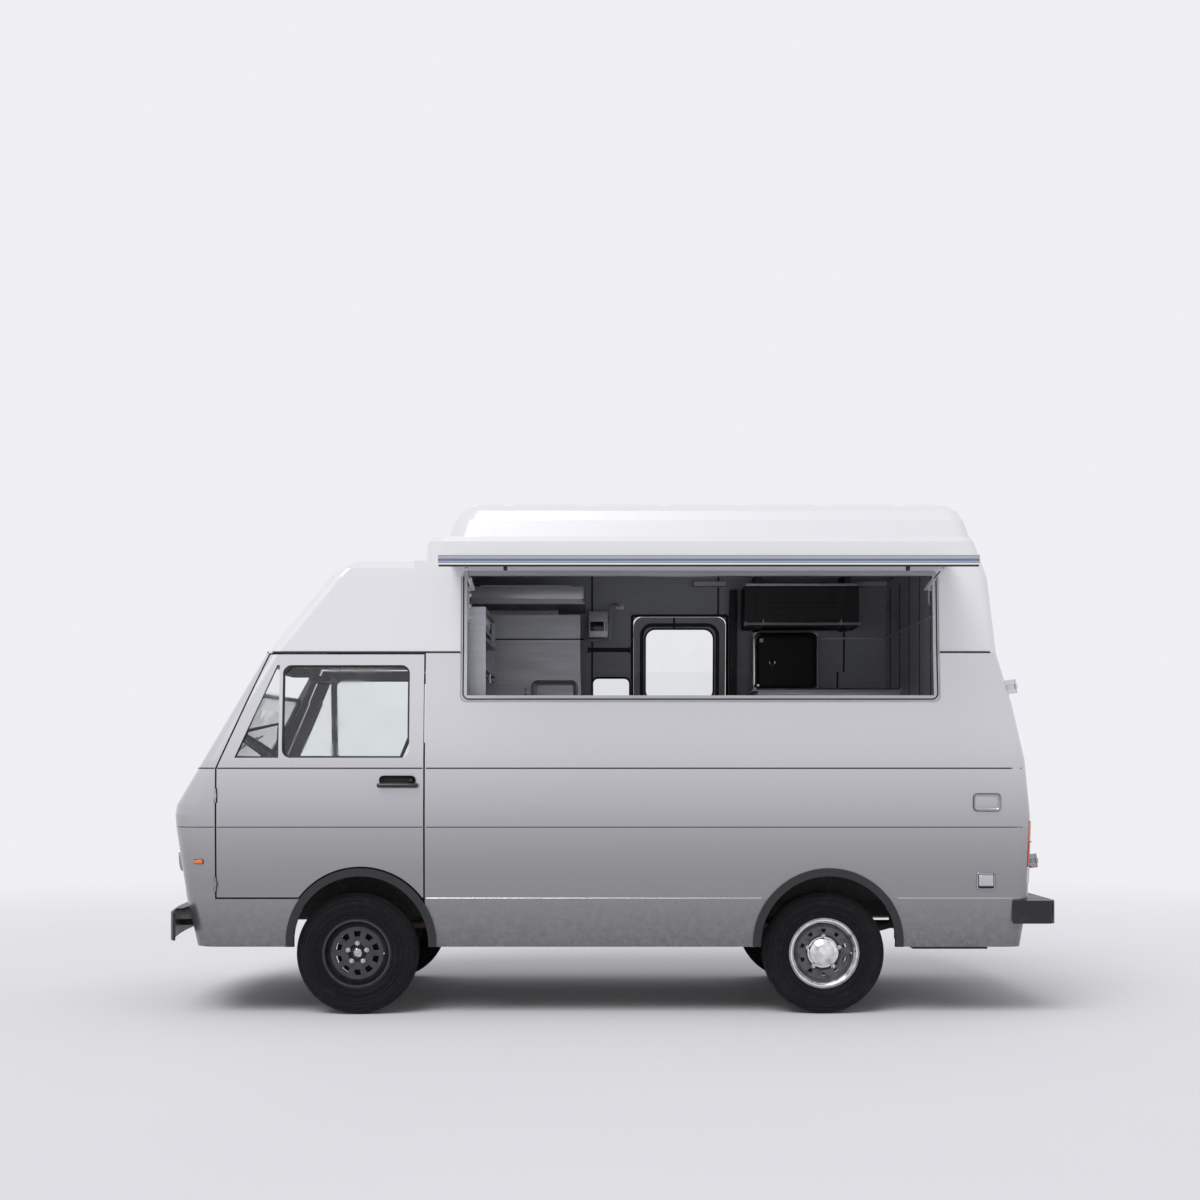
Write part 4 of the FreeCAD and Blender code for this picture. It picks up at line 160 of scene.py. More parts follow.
def body_finish(name, colour, metal, inner, inner_metal, boards):
    """Paint outside with a film of dust low down and painted shade that darkens it towards the bottom, and a lining
    inside with upright joints.
    """
    made, paint, place = new_material(name)
    split = node(place, "SeparateXYZ", {0: place}).outputs
    low_down = spread(split["Z"], 0.34, 0.74, 1.0, 0.0)
    film = reckon("MULTIPLY", cloud(place, 26.0, 10.0, 0.8), low_down)
    film = spread(film, 0.15, 0.75)
    # Painted shade: the paint darkens to 0.42 of its colour from 1.62 m down to 0.60 m, for the darker ground that the
    # lower sides reflect.
    painted_shade_fade = spread(split["Z"], 0.60, 1.62, interpolation_type="SMOOTHSTEP")
    tone = blend(painted_shade_fade, tuple(0.42 * part for part in colour), colour)
    ripple = bumped(cloud(place, 1.4), 0.25, 0.004)
    feed(paint, {"Base Color": blend(film, tone, (0.10, 0.092, 0.082)),
                 "Roughness": spread(film, 0.0, 1.0, 0.26, 0.75),
                 "Normal": bumped(cloud(place, 900.0, 1.0), 0.12, 0.0003, Normal=ripple),
                 "Metallic": metal, "Coat Weight": 0.6, "Coat Roughness": 0.08})
    joint = reckon("LESS_THAN", reckon("PINGPONG", split["X"], boards), 0.006)
    brushed = node(place, "Mapping", {"Vector": place, "Scale": (4, 4, 160)}).outputs[0]
    streak = cloud(brushed, 3.0, 4.0)
    board = blend(streak, tuple(0.6 * part for part in inner), inner)
    lining = node(place, "BsdfPrincipled", {"Base Color": blend(joint, board, (0.01, 0.01, 0.012)),
                                            "Metallic": inner_metal,
                                            "Roughness": spread(streak, 0.0, 1.0, 0.38, 0.6)})
    surface_mix(facing_out(place), lining, paint)
    return made


def dress(material, names):
    """Gives CAD nodes their finish."""
    for name in names.split():
        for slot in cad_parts[name].material_slots:
            slot.material = material


silver = (0.66, 0.66, 0.68)
kitchen_panel = body_finish("silver_over_steel_boards", silver, 0.75, (0.46, 0.47, 0.50), 0.3, 0.26)
cab_panel = body_finish("silver_over_vinyl", silver, 0.75, (0.16, 0.16, 0.17), 0.0, 9.0)
white_roof = body_finish("white_laminate", (0.80, 0.80, 0.82), 0.1, (0.44, 0.45, 0.48), 0.3, 0.4)
dress(kitchen_panel, "side_panel_left side_panel_right rear_valance rear_door_left rear_door_right side_door")
dress(cab_panel, "front_panel cab_door_left cab_door_right service_flap")
dress(white_roof, "roof_moulding roof_cap")

# Everything that keeps its CAD shape: bought-in fittings and castings, each with the finish of
# its own stuff, all with slow colour changes, a grain and a roughness that wanders.


def finish(name, colour, second, rough, metal=0.0, scale=5.0, grain=250.0, depth=0.0004, stretch=(1, 1, 1),
           coat=0.0, wear=None):
    """Two tones that wander over the part, a fine grain, and worn or dusty patches where given."""
    made, shader, place = new_material(name)
    drawn = node(place, "Mapping", {"Vector": place, "Scale": stretch}).outputs[0]
    slow = cloud(drawn, scale, 5.0)
    tone = blend(slow, colour, second)
    if wear:
        tone = blend(spread(cloud(place, 14.0, 9.0, 0.75), 0.52, 0.68), tone, wear)
    feed(shader, {"Base Color": tone, "Metallic": metal, "Coat Weight": coat,
                  "Roughness": spread(slow, 0.0, 1.0, max(rough - 0.1, 0.02), min(rough + 0.1, 1.0)),
                  "Normal": bumped(cloud(drawn, grain, 3.0), 0.5, depth)})
    return made


def clear_finish(name, colour, rough, ior=1.45):
    """Clear glass or plastic, faintly tinted, with a little dust on it."""
    made, shader, place = new_material(name)
    dust = cloud(place, 7.0, 6.0)
    feed(shader, {"Base Color": blend(dust, colour, tuple(0.93 * part for part in colour)),
                  "Roughness": spread(dust, 0.4, 0.8, rough, rough + 0.12),
                  "Normal": bumped(dust, 0.05, 0.001), "Transmission Weight": 1.0, "IOR": ior})
    return made


pitch, soot, dry_mud = (0.004, 0.004, 0.005), (0.009, 0.009, 0.010), (0.02, 0.019, 0.018)
black_gloss = finish("black_gloss_trim", pitch, soot, 0.2, coat=0.3)
black_sheet = finish("black_bumper_paint", pitch, soot, 0.38, wear=dry_mud)
chassis = finish("chassis_paint", (0.02, 0.02, 0.021), (0.045, 0.043, 0.04), 0.7, wear=(0.10, 0.07, 0.045))
iron = finish("cast_iron", (0.07, 0.068, 0.065), (0.12, 0.11, 0.10), 0.8, metal=0.4, grain=90, depth=0.001)
pipe_steel = finish("pipe_steel", (0.20, 0.17, 0.15), (0.10, 0.075, 0.06), 0.6, metal=0.7, wear=(0.16, 0.07, 0.03))
black_plastic = finish("black_plastic", (0.018, 0.018, 0.02), (0.032, 0.032, 0.034), 0.55, grain=500, depth=0.0005)
brushed_steel = finish("brushed_steel", (0.62, 0.63, 0.66), (0.46, 0.47, 0.49), 0.42, metal=0.5, scale=2.0,
                       grain=30, depth=0.0002, stretch=(2, 2, 40))
aluminium = finish("mill_aluminium", (0.55, 0.56, 0.58), (0.42, 0.43, 0.45), 0.4, metal=0.9, stretch=(1, 12, 12))
bright_steel = finish("bright_steel", (0.66, 0.66, 0.68), (0.5, 0.5, 0.52), 0.16, metal=1.0)
white_plastic = finish("white_plastic", (0.78, 0.78, 0.76), (0.7, 0.7, 0.68), 0.4)
strut_paint = finish("strut_paint", (0.72, 0.72, 0.74), (0.62, 0.62, 0.64), 0.3, metal=0.2)
pane_glass = clear_finish("pane_glass", (0.93, 0.96, 0.95), 0.01)
dress(black_gloss, "arch_lips grille")
dress(black_sheet, "front_bumper rear_bumper")
dress(chassis, "floor_pan wheel_boxes front_suspension rear_axle knuckle_left knuckle_right spare_carrier")
dress(iron, "engine_block")
dress(pipe_steel, "exhaust")
dress(black_plastic, "fuel_tank dashboard high_unit engine_cover")
dress(brushed_steel, "tall_cabinet far_counter wall_rack partitions")
dress(aluminium, "hatch_frame")
dress(strut_paint, "strut_cylinder_front strut_cylinder_rear")
dress(bright_steel, "strut_rod_front strut_rod_rear")
dress(white_plastic, "wall_lamps")
dress(pane_glass, "body_glass cab_glass_left cab_glass_right side_door_glass")

# Tyres: black rubber, moulded in one piece. The casing is spun from its section, and the cross
# grooves between the tread blocks are pressed into the shoulder and middle rows of faces.


def start_clean(piece=None):
    """Leaves edit mode with nothing selected, so that the next tool works on new work only."""
    if bpy.context.object and bpy.context.object.mode != "OBJECT":
        bpy.ops.object.mode_set(mode="OBJECT")
    bpy.ops.object.select_all(action="DESELECT")
    if piece:
        piece.select_set(True)
        bpy.context.view_layer.objects.active = piece


def settle(piece, name, material, body="vehicle_body", angle=35):
    """Puts a piece's place into its mesh, smooths it, names it and hangs it on its body."""
    start_clean(piece)
    bpy.ops.object.transform_apply(location=True, rotation=True, scale=True)
    bpy.ops.object.shade_smooth_by_angle(angle=math.radians(angle))
    piece.name = name
    piece.data.name = name
    piece.data.materials.clear()
    piece.data.materials.append(material)
    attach(piece, body)
    return piece


def out_again(piece):
    """Turns all faces of a piece outward."""
    start_clean(piece)
    bpy.ops.object.mode_set(mode="EDIT")
    bpy.ops.mesh.select_all(action="SELECT")
    bpy.ops.mesh.normals_make_consistent(inside=False)
    bpy.ops.object.mode_set(mode="OBJECT")
    return piece


def spun(centre, axis, profile, steps):
    """Spins (distance along the axis, radius) points round an axis through a point."""
    start_clean()
    bpy.ops.mesh.primitive_plane_add(size=0.01)
    piece = bpy.context.object
    bpy.ops.object.mode_set(mode="EDIT")
    bpy.ops.mesh.select_mode(type="VERT")
    bpy.ops.mesh.merge(type="CENTER")
    along = Vector(axis)
    out = Vector((0, 0, 1)) if abs(along.z) < 0.5 else Vector((1, 0, 0))
    places = [Vector(centre) + along * distance + out * radius for distance, radius in profile]
    bpy.ops.transform.translate(value=places[0])
    for before, after in zip(places, places[1:]):
        bpy.ops.mesh.extrude_vertices_move(TRANSFORM_OT_translate={"value": after - before})
    bpy.ops.mesh.select_all(action="SELECT")
    bpy.ops.mesh.spin(steps=steps, angle=2 * math.pi, center=centre, axis=axis)
    bpy.ops.mesh.select_all(action="SELECT")
    bpy.ops.mesh.remove_doubles(threshold=0.00002)
    bpy.ops.mesh.normals_make_consistent(inside=False)
    bpy.ops.object.mode_set(mode="OBJECT")
    return piece


def joined(pieces):
    """Makes one piece of several."""
    start_clean(pieces[0])
    for piece in pieces:
        piece.select_set(True)
    if len(pieces) > 1:
        bpy.ops.object.join()
    return pieces[0]


def copied(piece, shift=(0, 0, 0), across=1):
    """A copy of a piece with a mesh of its own, moved, or mirrored across where across is -1."""
    twin = bpy.data.objects.new("twin", piece.data.copy())
    bpy.context.collection.objects.link(twin)
    for vertex in twin.data.vertices:
        vertex.co.y *= across
        vertex.co += Vector(shift)
    return twin


pole = 0.0001  # radius where a spun shape ends on its axis
rubber = finish("tyre_rubber", (0.010, 0.011, 0.014), (0.02, 0.021, 0.025), 0.72, scale=3.0, grain=400,
                depth=0.0006, wear=(0.035, 0.034, 0.034))
hub_height = 0.325
wheels = (("front_left", -1.25, -0.850, -1), ("front_right", -1.25, 0.850, 1),
          ("rear_left", 1.25, -0.825, -1), ("rear_right", 1.25, 0.825, 1))
half_casing = [(0.070, 0.1768), (0.0775, 0.181), (0.083, 0.196), (0.0885, 0.216), (0.0903, 0.226),
               (0.0921, 0.229), (0.0923, 0.247), (0.0905, 0.25), (0.0912, 0.264), (0.0885, 0.283),
               (0.0842, 0.287), (0.0800, 0.303), (0.0765, 0.3115), (0.0700, 0.3175), (0.0560, 0.3220),
               (0.0480, 0.3231), (0.0472, 0.3160), (0.0405, 0.3160), (0.0397, 0.3240), (0.0270, 0.3245),
               (0.0165, 0.3248), (0.0157, 0.3165), (0.0090, 0.3165), (0.0082, 0.3250)]
casing = half_casing + [(-distance, radius) for distance, radius in reversed(half_casing)]
tyre_steps = 198
pattern = spun((0, 0, hub_height), (0, 1, 0), casing + casing[:1], tyre_steps)
for face in pattern.data.polygons:
    across = abs(face.center.y)
    rise = face.center.z - hub_height
    spoke = math.hypot(face.center.x, rise)
    step = int(math.atan2(rise, face.center.x) / (2 * math.pi) * tyre_steps + tyre_steps)
    shoulder = 0.049 < across < 0.078 and spoke > 0.306 and step % 3 == 0
    middle = 0.017 < across < 0.039 and spoke > 0.320 and (step + (1 if face.center.y > 0 else 2)) % 3 == 0
    face.select = shoulder or middle
bpy.ops.object.mode_set(mode="EDIT")
bpy.ops.mesh.select_mode(type="FACE")
bpy.ops.mesh.inset(thickness=0.0022, depth=-0.0065, use_individual=True)
start_clean()
for corner, x, y, side in wheels:
    tyre = settle(copied(pattern, (x, y, 0)), "tread_" + corner, rubber, "wheel_" + corner, angle=40)
    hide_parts("tyre_" + corner)
bpy.data.objects.remove(pattern)

# Rims: pressed steel discs keep their CAD shape. The front ones are painted dark grey, the rear
# ones wear a bright trim ring and a domed chrome cap. Each has five wheel nuts and a valve.


def ringed_rim(name, x, dark, bright, inner, outer):
    """Dark paint between two radii round a hub, bright metal inside the first and outside the second."""
    made, shader, place = new_material(name)
    centred = turned("SUBTRACT", place, (x, 0, hub_height))
    radius = turned("LENGTH", turned("MULTIPLY", centred, (1, 0, 1)))
    core, edge = reckon("LESS_THAN", radius, inner), reckon("GREATER_THAN", radius, outer)
    metal = reckon("MAXIMUM", core, edge)
    spot = spread(cloud(place, 26.0, 7.0), 0.45, 0.75)
    paint = blend(spot, dark, (0.035, 0.032, 0.03))
    plate = blend(spot, bright, (0.40, 0.39, 0.38))
    feed(shader, {"Base Color": blend(metal, paint, plate),
                  "Roughness": spread(metal, 0.0, 1.0, 0.42, 0.12),
                  "Metallic": spread(metal, 0.0, 1.0, 0.35, 1.0),
                  "Normal": bumped(cloud(place, 300.0), 0.2, 0.0003)})
    return made


def touch(names, start, way):
    """Where a line from a point first meets any of the named CAD nodes."""
    start = Vector(start)
    met = []
    for name in names.split():
        hit, place, _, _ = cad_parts[name].ray_cast(start, Vector(way).normalized())
        if hit:
            met.append(place)
    if not met:
        raise ValueError("nothing met on " + names + " from " + str(start))
    return min(met, key=lambda place: (place - start).length)


front_rim = ringed_rim("front_rim_paint", -1.25, (0.055, 0.057, 0.062), (0.55, 0.55, 0.56), 0.024, 9.0)
rear_rim = ringed_rim("rear_rim_paint", 1.25, (0.10, 0.10, 0.105), (0.82, 0.82, 0.83), 0.083, 0.160)
dress(front_rim, "rim_front_left rim_front_right")
dress(rear_rim, "rim_rear_left rim_rear_right")
nut = [(0, pole), (0, 0.0135), (0.004, 0.0135), (0.0045, 0.0098), (0.015, 0.0096), (0.0175, 0.0075),
       (0.0185, pole)]
valve = [(0, pole), (0, 0.006), (0.006, 0.0058), (0.008, 0.0036), (0.026, 0.0033), (0.0265, 0.0044),
         (0.034, 0.0042), (0.0345, pole)]
outside = 1.5
for corner, x, y, side in wheels:
    nut_ring = 0.052 if x < 0 else 0.093
    nuts = []
    for step in range(5):
        turn = math.radians(72 * step + 18)
        place = (x + nut_ring * math.cos(turn), side * outside, hub_height + nut_ring * math.sin(turn))
        foot = touch("rim_" + corner, place, (0, -side, 0)) - Vector((0, side * 0.002, 0))
        nuts.append(spun(foot, (0, side, 0), nut, 6))
    foot = touch("rim_" + corner, (x + 0.146, side * outside, hub_height), (0, -side, 0))
    nuts.append(spun(foot - Vector((0, side * 0.004, 0)), (0, side, 0), valve, 10))
    settle(joined(nuts), "wheel_nuts_" + corner, bright_steel, "wheel_" + corner, angle=30)

# Mouldings of the body: thin dark strips pressed over the belt and middle folds of the sides and
# over the seam below the roof, and a bright metal strip over the sill fold that is a painted
# highlight for the sill's upward-facing ledge. Each strip ends at the edges of its own panel, so
# that the doors can open.


def run(points, radius, ring=2, closed=False, smooth=False):
    """A round bar along points, as a closed mesh."""
    start_clean()
    curve = bpy.data.curves.new("bar", "CURVE")
    curve.dimensions = "3D"
    line = curve.splines.new("NURBS" if smooth else "POLY")
    line.points.add(len(points) - 1)
    for spot, place in zip(line.points, points):
        spot.co = (*place, 1)
    if smooth:
        line.order_u = 3
        line.use_endpoint_u = not closed
    line.use_cyclic_u = closed
    curve.bevel_depth = radius
    curve.bevel_resolution = ring
    curve.use_fill_caps = True
    piece = bpy.data.objects.new("bar", curve)
    bpy.context.collection.objects.link(piece)
    start_clean(piece)
    bpy.ops.object.convert(target="MESH")
    return bpy.context.object


def strip(name, side, x_from, x_to, z, radius, steps, sink=0.0012):
    """A round strip sunk a little into the outer skin of a panel, from x to x at a height."""
    points = []
    for step in range(steps + 1):
        x = x_from + (x_to - x_from) * step / steps
        points.append(touch(name, (x, side * outside, z), (0, -side, 0)) - Vector((0, side * sink, 0)))
    return run(points, radius)


rubber_strip = finish("rubber_strip", (0.012, 0.012, 0.013), (0.028, 0.028, 0.03), 0.6, grain=500)
bright_strip = finish("bright_strip", (0.62, 0.62, 0.64), (0.45, 0.45, 0.47), 0.22, metal=0.9)
belt, fold, lip, roof_joint = (1.3145, 0.0042), (1.003, 0.0030), (0.626, 0.0034), (1.9335, 0.0055)
panel_spans = {-1: ((-0.872, 2.285),), 1: ((-0.872, 0.244), (0.868, 2.285))}
sill_spans = {-1: ((-0.872, 0.905), (1.625, 2.285)), 1: ((-0.872, 0.244), (1.625, 2.285))}
seam_spans = {-1: ((-1.73, -0.695), (1.862, 2.13)), 1: ((-1.73, 0.235), (0.875, 2.13))}
sides = ((-1, "left"), (1, "right"))
for side, name in sides:
    panel, door = "side_panel_" + name, "cab_door_" + name
    belts = [strip(panel, side, *span, *line, 48) for span in panel_spans[side] for line in (belt, fold)]
    settle(joined(belts), "side_strips_" + name, rubber_strip)
    # Painted highlight: a bright metal strip on the sill fold stands in for the light on the sill's upward-facing
    # ledge.
    painted_sill_highlights = [strip(panel, side, *span, *lip, 30) for span in sill_spans[side]]
    settle(joined(painted_sill_highlights), "sill_highlight_strips_" + name, bright_strip)
    belts = [strip(door, side, -1.978, -0.89, *line, 4) for line in (belt, fold)]
    settle(joined(belts), "door_strips_" + name, rubber_strip, door)
    nose = [strip("front_panel", side, -2.11, -1.992, *belt, 6), strip("front_panel", side, -2.22, -1.992, *fold, 8)]
    settle(joined(nose), "wing_strips_" + name, rubber_strip)
    seams = [strip("roof_moulding", side, *span, *roof_joint, 24, sink=0.0005) for span in seam_spans[side]]
    settle(joined(seams), "roof_seam_" + name, rubber_strip)

# Window rubbers: a black profile all round each pane. It follows the pane's own edge, taken from
# the outline of the outer face of the CAD pane and drawn out as a round section.


def edging(name, faces, radius):
    """Round bars along the outline of the faces of a CAD node that the test picks."""
    piece = copied(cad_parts[name])
    start_clean(piece)
    bpy.ops.object.mode_set(mode="EDIT")
    bpy.ops.mesh.select_all(action="SELECT")
    bpy.ops.mesh.remove_doubles(threshold=0.00005)
    bpy.ops.mesh.select_all(action="DESELECT")
    bpy.ops.object.mode_set(mode="OBJECT")
    for face in piece.data.polygons:
        face.select = not faces(face)
    bpy.ops.object.mode_set(mode="EDIT")
    bpy.ops.mesh.select_mode(type="FACE")
    bpy.ops.mesh.delete(type="FACE")
    bpy.ops.object.mode_set(mode="OBJECT")
    loops = boundary_loops(piece.data)
    bpy.data.objects.remove(piece)
    return joined([run(loop, radius, closed=True) for loop in loops])


def boundary_loops(mesh):
    """Closed rows of points along the open edges of a mesh."""
    uses = {}
    for face in mesh.polygons:
        for key in face.edge_keys:
            uses[key] = uses.get(key, 0) + 1
    near = {}
    for (one, other), count in uses.items():
        if count == 1:
            near.setdefault(one, []).append(other)
            near.setdefault(other, []).append(one)
    loops = []
    while near:
        spot = next(iter(near))
        others = list(near[spot])
        loop = []
        for turn in range(2):
            while spot is not None:
                loop.append(mesh.vertices[spot].co.copy())
                ways = near.pop(spot)
                spot = next((way for way in ways if way in near), None)
            spot = next((way for way in others if way in near), None)
            loop.reverse()
        if len(loop) > 7:
            loops.append(loop)
    return loops


for side, name in sides:
    rim = edging("cab_glass_" + name, lambda face: face.normal.y * side > 0.8, 0.0105)
    settle(rim, "door_window_rubber_" + name, rubber_strip, "cab_door_" + name)
rim = edging("body_glass", lambda face: face.normal.x < -0.5 or face.normal.y > 0.8, 0.013)
settle(rim, "window_rubbers", rubber_strip)
rim = edging("side_door_glass", lambda face: face.normal.y > 0.8, 0.0105)
settle(rim, "entrance_window_rubber", rubber_strip, "entrance_door")

# Cab door handles: a cast pull lever over a dark oval recess, with a round key barrel behind it.
# They stand on the outer skins of the doors, a hand's width below the window.


def slab(low, high, edge, segments=2, corner=0.0, axis=1):
    """A board between two corners with eased edges; corner rounds its outline round one axis."""
    start_clean()
    low, high = Vector(low), Vector(high)
    bpy.ops.mesh.primitive_cube_add(size=1, location=(low + high) / 2, scale=high - low)
    piece = bpy.context.object
    bpy.ops.object.transform_apply(location=True, rotation=True, scale=True)
    if corner:
        for line in piece.data.edges:
            one, other = (piece.data.vertices[key].co for key in line.vertices)
            line.select = abs((other - one).normalized()[axis]) > 0.9
        bpy.ops.object.mode_set(mode="EDIT")
        bpy.ops.mesh.select_mode(type="EDGE")
        bpy.ops.mesh.bevel(offset=corner, segments=5, affect="EDGES")
        bpy.ops.object.mode_set(mode="OBJECT")
    rounding = piece.modifiers.new("eased", "BEVEL")
    rounding.width = edge
    rounding.segments = segments
    rounding.limit_method = "ANGLE"
    rounding.angle_limit = math.radians(50)
    bpy.ops.object.modifier_apply(modifier=rounding.name)
    return piece


def laid_on(piece, name, axis, begin, way):
    """Moves each point of a piece, modelled about zero on one axis, out to the skin of a CAD node."""
    heading = Vector((0, 0, 0))
    heading[axis] = way
    bpy.context.view_layer.objects.active = piece
    for vertex in piece.data.vertices:
        start = vertex.co.copy()
        start[axis] = begin
        vertex.co[axis] += touch(name, start, heading)[axis]
    return piece


def oblong(centre, half_wide, half_high, corner, axis, steps=5):
    """Points round a rectangle with rounded corners, in the plane square to an axis."""
    points = []
    for turn, (u, v) in enumerate(((1, 1), (-1, 1), (-1, -1), (1, -1))):
        for step in range(steps + 1):
            angle = math.radians(90 * turn + 90 * step / steps)
            wide = u * (half_wide - corner) + corner * math.cos(angle)
            high = v * (half_high - corner) + corner * math.sin(angle)
            points.append(Vector(centre) + (Vector((wide, 0, high)) if axis == 1 else Vector((0, wide, high))))
    return points


recess_black = finish("recess_black", (0.008, 0.008, 0.009), (0.014, 0.014, 0.015), 0.7)
for side, name in sides:
    door = "cab_door_" + name
    cup = slab((-1.118, -0.0015, 1.226), (-0.926, 0.0015, 1.276), 0.001, corner=0.024)
    settle(laid_on(cup, door, 1, side * outside, -side), "handle_recess_" + name, recess_black, door)
    lever = slab((-1.128, side * 0.030, 1.212), (-0.911, side * 0.046, 1.236), 0.006, 3, corner=0.010)
    feet = [slab((x - 0.013, side * -0.002, 1.214), (x + 0.013, side * 0.036, 1.234), 0.004) for x in (-1.112, -0.930)]
    barrel = spun((-0.952, 0, 1.252), (0, side, 0), [(-0.001, pole), (-0.001, 0.0125), (0.012, 0.0118),
                                                     (0.014, 0.0095), (0.0135, pole)], 20)
    handle = laid_on(joined([lever, *feet, barrel]), door, 1, side * outside, -side)
    settle(handle, "door_handle_" + name, black_gloss, door)

# Small fittings on the sides: an orange repeater lamp in a black rim on each wing, and on the
# hatch side a power inlet under a chromed flap and, above it, a flush rounded fuel flap.
orange_lens = finish("orange_lens", (0.85, 0.20, 0.015), (0.70, 0.14, 0.01), 0.16, grain=220, depth=0.0008, coat=1.0)
for side, name in sides:
    rim = slab((-2.101, side * -0.001, 0.807), (-2.049, side * 0.006, 0.833), 0.002, corner=0.005)
    settle(laid_on(rim, "front_panel", 1, side * outside, -side), "repeater_rim_" + name, rubber_strip)
    lens = slab((-2.098, side * 0.002, 0.810), (-2.052, side * 0.013, 0.830), 0.004, 3, corner=0.004)
    settle(laid_on(lens, "front_panel", 1, side * outside, -side), "repeater_" + name, orange_lens)
bed = slab((2.046, -0.004, 0.672), (2.142, 0.001, 0.761), 0.0015, corner=0.012)
rim = run(oblong((2.094, -0.004, 0.7165), 0.046, 0.0425, 0.012, 1), 0.0042, closed=True)
cover = slab((2.054, -0.011, 0.690), (2.134, -0.003, 0.752), 0.003, 3, corner=0.008)
pin = run([(2.060, -0.010, 0.756), (2.128, -0.010, 0.756)], 0.0035)
for piece, name, material in (
        (bed, "inlet_seat", recess_black),
        (joined([rim, cover, pin]), "inlet_flap", bright_steel),
        (run(oblong((2.099, -0.0002, 1.134), 0.074, 0.047, 0.022, 1), 0.0016, closed=True), "fuel_flap_gap",
         rubber_strip),
        (slab((2.0275, -0.0018, 1.0895), (2.1705, 0.0008, 1.1785), 0.0012, corner=0.02), "fuel_flap", kitchen_panel)):
    settle(laid_on(piece, "side_panel_left", 1, -outside, 1), name, material)

# Rear doors and entrance door: pressed strips over the folds of the rear doors, paddle handles
# with key barrels, and a grab bar beside the entrance. All are screwed to the outer skins.
behind = 3.0
for side, name in sides:
    door = "rear_door_" + name
    low, high = (-0.862, -0.014) if side < 0 else (0.014, 0.862)
    bands = [run([touch(door, (behind, low + (high - low) * step / 6, z), (-1, 0, 0)) for step in range(7)], 0.003)
             for z in (belt[0], fold[0])]
    settle(joined(bands), "rear_strips_" + name, rubber_strip, door)
key_barrel = [(0.004, pole), (0.004, 0.011), (0.014, 0.010), (0.014, pole)]
plate = slab((-0.001, -0.100, 1.075), (0.006, -0.030, 1.205), 0.002, corner=0.012, axis=0)
paddle = slab((0.006, -0.088, 1.095), (0.026, -0.062, 1.190), 0.007, 3, corner=0.008, axis=0)
barrel = spun((0, -0.046, 1.100), (1, 0, 0), key_barrel, 18)
handle = laid_on(joined([plate, paddle, barrel]), "rear_door_left", 0, behind, -1)
settle(handle, "rear_handle", black_gloss, "rear_door_left")
plate = slab((0.735, -0.001, 1.120), (0.805, 0.006, 1.260), 0.002, corner=0.012)
paddle = slab((0.742, 0.006, 1.150), (0.772, 0.028, 1.245), 0.007, 3, corner=0.008)
barrel = spun((0.785, 0, 1.145), (0, 1, 0), key_barrel, 18)
handle = laid_on(joined([plate, paddle, barrel]), "side_door", 1, outside, -1)
settle(handle, "entrance_handle", black_gloss, "entrance_door")
bar = [(0.935, 0, 1.12), (0.935, 0.028, 1.135), (0.935, 0.030, 1.17), (0.935, 0.030, 1.60), (0.935, 0.028, 1.635),
       (0.935, 0, 1.65)]
grab = run(bar, 0.009, 3)
foot = [(-0.001, pole), (-0.001, 0.019), (0.004, 0.018), (0.0055, 0.012), (0.0055, pole)]
feet = [spun((0.935, 0, z), (0, 1, 0), foot, 18) for z in (1.12, 1.65)]
settle(laid_on(joined([grab, *feet]), "side_panel_right", 1, outside, -1), "grab_bar", bright_steel)

# Roof ledge: the white glass-fibre deck ahead of the raised cap, laid in from above. It closes
# the roof between the shoulder of the moulding and the foot of the cap, flush with both.
start_clean()
rear_edge, reach, bow = -0.670, 0.235, 0.1
bpy.ops.mesh.primitive_grid_add(x_subdivisions=3, y_subdivisions=20, size=1, location=(0, 0, 2.5575))
ledge = bpy.context.object
ledge.scale = (1, 1.70, 1)
bpy.ops.object.transform_apply(location=True, rotation=True, scale=True)
for vertex in ledge.data.vertices:
    vertex.co.x = rear_edge + (0.5 - vertex.co.x) * (bow * vertex.co.y ** 2 - reach)
deck = ledge.modifiers.new("deck", "SOLIDIFY")
deck.thickness = 0.030
deck.offset = -1
bpy.ops.object.modifier_apply(modifier=deck.name)
settle(ledge, "roof_ledge", white_roof)

# Hatch: an aluminium frame with a bright bead and a rubber seal round the opening, and a white
# control box with three knobs inside its front corner. All is screwed to the wall.


def close_set(points, gap):
    """Adds points between those of a closed loop, so that none is further from the next than gap."""
    dense = []
    for before, after in zip(points, points[1:] + points[:1]):
        parts = max(1, math.ceil((after - before).length / gap))
        dense += [before.lerp(after, step / parts) for step in range(parts)]
    return dense


hatch_middle, loop_top, open_top = 0.5835, 2.36, 2.34
for name, wide, low, radius, material in (("hatch_bead", 1.2745, 1.6685, 0.0042, bright_strip),
                                          ("hatch_seal", 1.2615, 1.6820, 0.0040, rubber_strip)):
    half_high = (loop_top - low) / 2
    loop = close_set(oblong((hatch_middle, 0, low + half_high), wide, half_high, 0.030, 1), 0.12)
    loop = [place for place in loop if place.z < open_top]
    start = max(range(len(loop)), key=lambda spot: (loop[spot] - loop[spot - 1]).length)
    bead = [touch("hatch_frame side_panel_left roof_moulding", (place.x, -outside, place.z), (0, 1, 0))
            for place in loop[start:] + loop[:start]]
    settle(run(bead, radius), name, material)
box = slab((-0.730, -0.862, 2.100), (-0.655, -0.790, 2.280), 0.004)
knob = [(-0.001, pole), (-0.001, 0.012), (0.010, 0.011), (0.012, 0.008), (0.012, pole)]
knobs = [spun((-0.655, -0.826, z), (1, 0, 0), knob, 16) for z in (2.13, 2.19, 2.25)]
settle(joined([box, *knobs]), "control_box", white_plastic)

